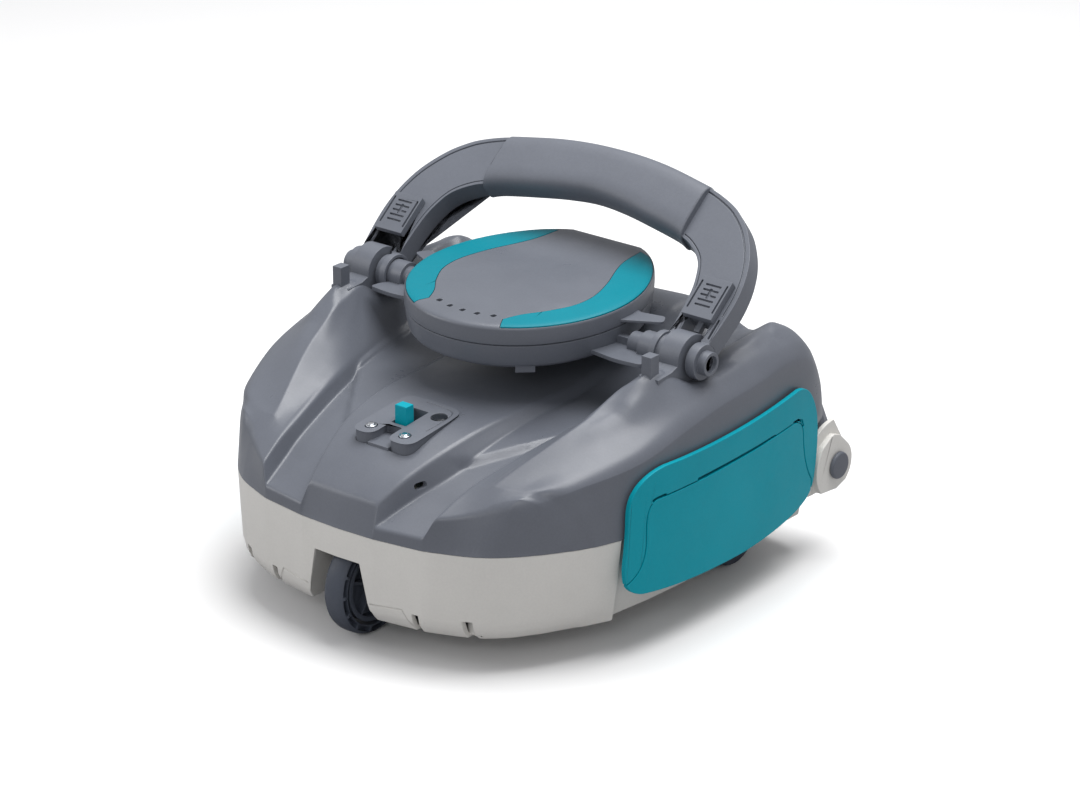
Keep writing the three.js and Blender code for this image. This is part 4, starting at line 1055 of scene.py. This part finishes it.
# ------------------------------------------------------------------ front wheel
def sector(y, z, r0, r1, a0, a1, count=6):
    angles = [a0 + (a1 - a0) * k / count for k in range(count + 1)]
    outer = [(y + r1 * math.cos(a), z + r1 * math.sin(a)) for a in angles]
    inner = [(y + r0 * math.cos(a), z + r0 * math.sin(a)) for a in angles[::-1]]
    return outer + inner


def build_wheel():
    profile = [
        (25.6, -7.4), (28.6, -7.9), (30.2, -7.0), (31.2, -5.8), (31.9, -3.8), (32.1, 0), (31.9, 3.8),
        (31.2, 5.8), (30.2, 7.0), (28.6, 7.9), (25.6, 7.4),
    ]
    count = 96
    rings = []
    for k in range(count):
        a = 2 * math.pi * k / count
        rings.append([(x, WHEEL_Y + r * math.cos(a), WHEEL_Z + r * math.sin(a)) for r, x in profile])
    tyre = skin("front_tyre_form", rings + [rings[0]], caps=False)
    pockets = []
    for k in range(14):
        a0 = 2 * math.pi * (k + 0.08) / 14
        a1 = 2 * math.pi * (k + 0.92) / 14
        for ends in ((3.6, 9), (-9, -3.6)):
            shape = sector(WHEEL_Y, WHEEL_Z, 26.6, 29.6, a0, a1)
            pockets.append(prism("pocket", shape, *ends, along="x"))
    cut(tyre, *pockets)
    finish_edges(tyre, width=0.25)
    place_piece(tyre, "front_wheel", RUBBER, "front_tyre")


build_wheel()

# ------------------------------------------------------------------ remaining nodes
FINISHES = {
    "charge_contact_left": CHROME, "charge_contact_right": CHROME, "status_lens": LENS,
    "front_screw_right": STEEL,
    "front_screw_left": STEEL, "rear_screw_right": STEEL, "rear_screw_left": STEEL,
    "front_wheel_hub": RUBBER, "front_axle": STEEL,
    "rear_wheel_right": RUBBER, "rear_wheel_left": RUBBER, "rear_axle_right": STEEL,
    "rear_axle_left": STEEL, "floor_wiper": RUBBER, "filter_basket": MESH_WHITE,
    "inlet_flap": DARK_SLATE, "pump_deck": BASE_GREY, "pump_housing": DARK_SLATE,
    "pump_motor": STEEL, "impeller": TEAL, "outlet_nozzle": DARK_SLATE, "battery_pack": CELLS,
    "control_case": DARK_SLATE, "control_board": BOARD, "rear_pin_right": DARK_SLATE,
    "rear_pin_left": DARK_SLATE, "hinge_post_right": SLATE_SATIN,
    "hinge_post_left": SLATE_SATIN, "pivot_pin_right": STEEL, "pivot_pin_left": STEEL,
    "latch_spring_right": STEEL, "latch_spring_left": STEEL,
    "pod_seal": RUBBER, "pod_float": FOAM,
}
body_of_node = {node: body for body, nodes in frame["record"]["behaviour"]["bodies"].items() for node in nodes}
for node, material in FINISHES.items():
    piece = copy_node(node)
    finish_edges(piece, width=0.3)
    place_piece(piece, body_of_node[node], material, node)

# ------------------------------------------------------------------ studio
def area_light(name, place, target, size, power, tint=(1, 1, 1)):
    data = bpy.data.lights.new(name, "AREA")
    data.shape = "RECTANGLE"
    data.size = size[0]
    data.size_y = size[1]
    data.energy = power
    data.color = tint
    light = bpy.data.objects.new(name, data)
    light.location = place
    light.rotation_euler = (Vector(target) - Vector(place)).to_track_quat("-Z", "Y").to_euler()
    SCENE.collection.objects.link(light)
    return light


def shaded_backdrop(tree, shader_input, seen, felt):
    """The camera sees one brightness of the studio and the object is lit by another."""
    path = tree.nodes.new("ShaderNodeLightPath")
    mix = tree.nodes.new("ShaderNodeMix")
    mix.data_type = "RGBA"
    mix.inputs["A"].default_value = (felt, felt, felt * 1.02, 1)
    mix.inputs["B"].default_value = (seen, seen, seen, 1)
    tree.links.new(path.outputs["Is Camera Ray"], mix.inputs["Factor"])
    tree.links.new(mix.outputs["Result"], shader_input)


def build_studio():
    far = 9000
    corners = [(-far, -far), (far, -far), (far, far), (-far, far)]
    floor = make("studio_floor", [(x, y, GROUND_Z) for x, y in corners], [[0, 1, 2, 3]])
    pale = bpy.data.materials.new("studio_pale")
    pale.use_nodes = True
    shader = pale.node_tree.nodes["Principled BSDF"]
    shader.inputs["Roughness"].default_value = 0.95
    shader.inputs["Specular IOR Level"].default_value = 0.05
    shaded_backdrop(pale.node_tree, shader.inputs["Base Color"], 0.95, 0.42)
    floor.data.materials.append(pale)
    world = bpy.data.worlds.new("studio_world")
    world.use_nodes = True
    back = world.node_tree.nodes["Background"]
    back.inputs["Strength"].default_value = 1.0
    shaded_backdrop(world.node_tree, back.inputs["Color"], 1.0, 0.4)
    SCENE.world = world
    area_light("top_softbox", (0.1, 0.35, 1.7), (0, 0.05, 0.1), (1.5, 1.2), 35)
    area_light("left_softbox", (-1.5, -1.1, 0.9), (0, 0, 0.1), (0.8, 1.0), 7)
    area_light("front_softbox", (0.9, -1.8, 1.2), (0, 0, 0.1), (0.9, 0.5), 5)


build_studio()
SCENE.view_settings.view_transform = "Standard"
SCENE.view_settings.look = "None"

# ------------------------------------------------------------------ camera
camera_data = bpy.data.cameras.new("main_camera")
camera_data.lens = 130
camera_data.sensor_width = 36
camera_data.clip_end = 50
camera = bpy.data.objects.new("main_camera", camera_data)
camera.location = (1.4049, -1.7056, 1.0101)
toward = Vector((0, 0.03546, 0.09255)) - camera.location
camera.rotation_euler = toward.to_track_quat("-Z", "Y").to_euler()
SCENE.collection.objects.link(camera)
SCENE.camera = camera
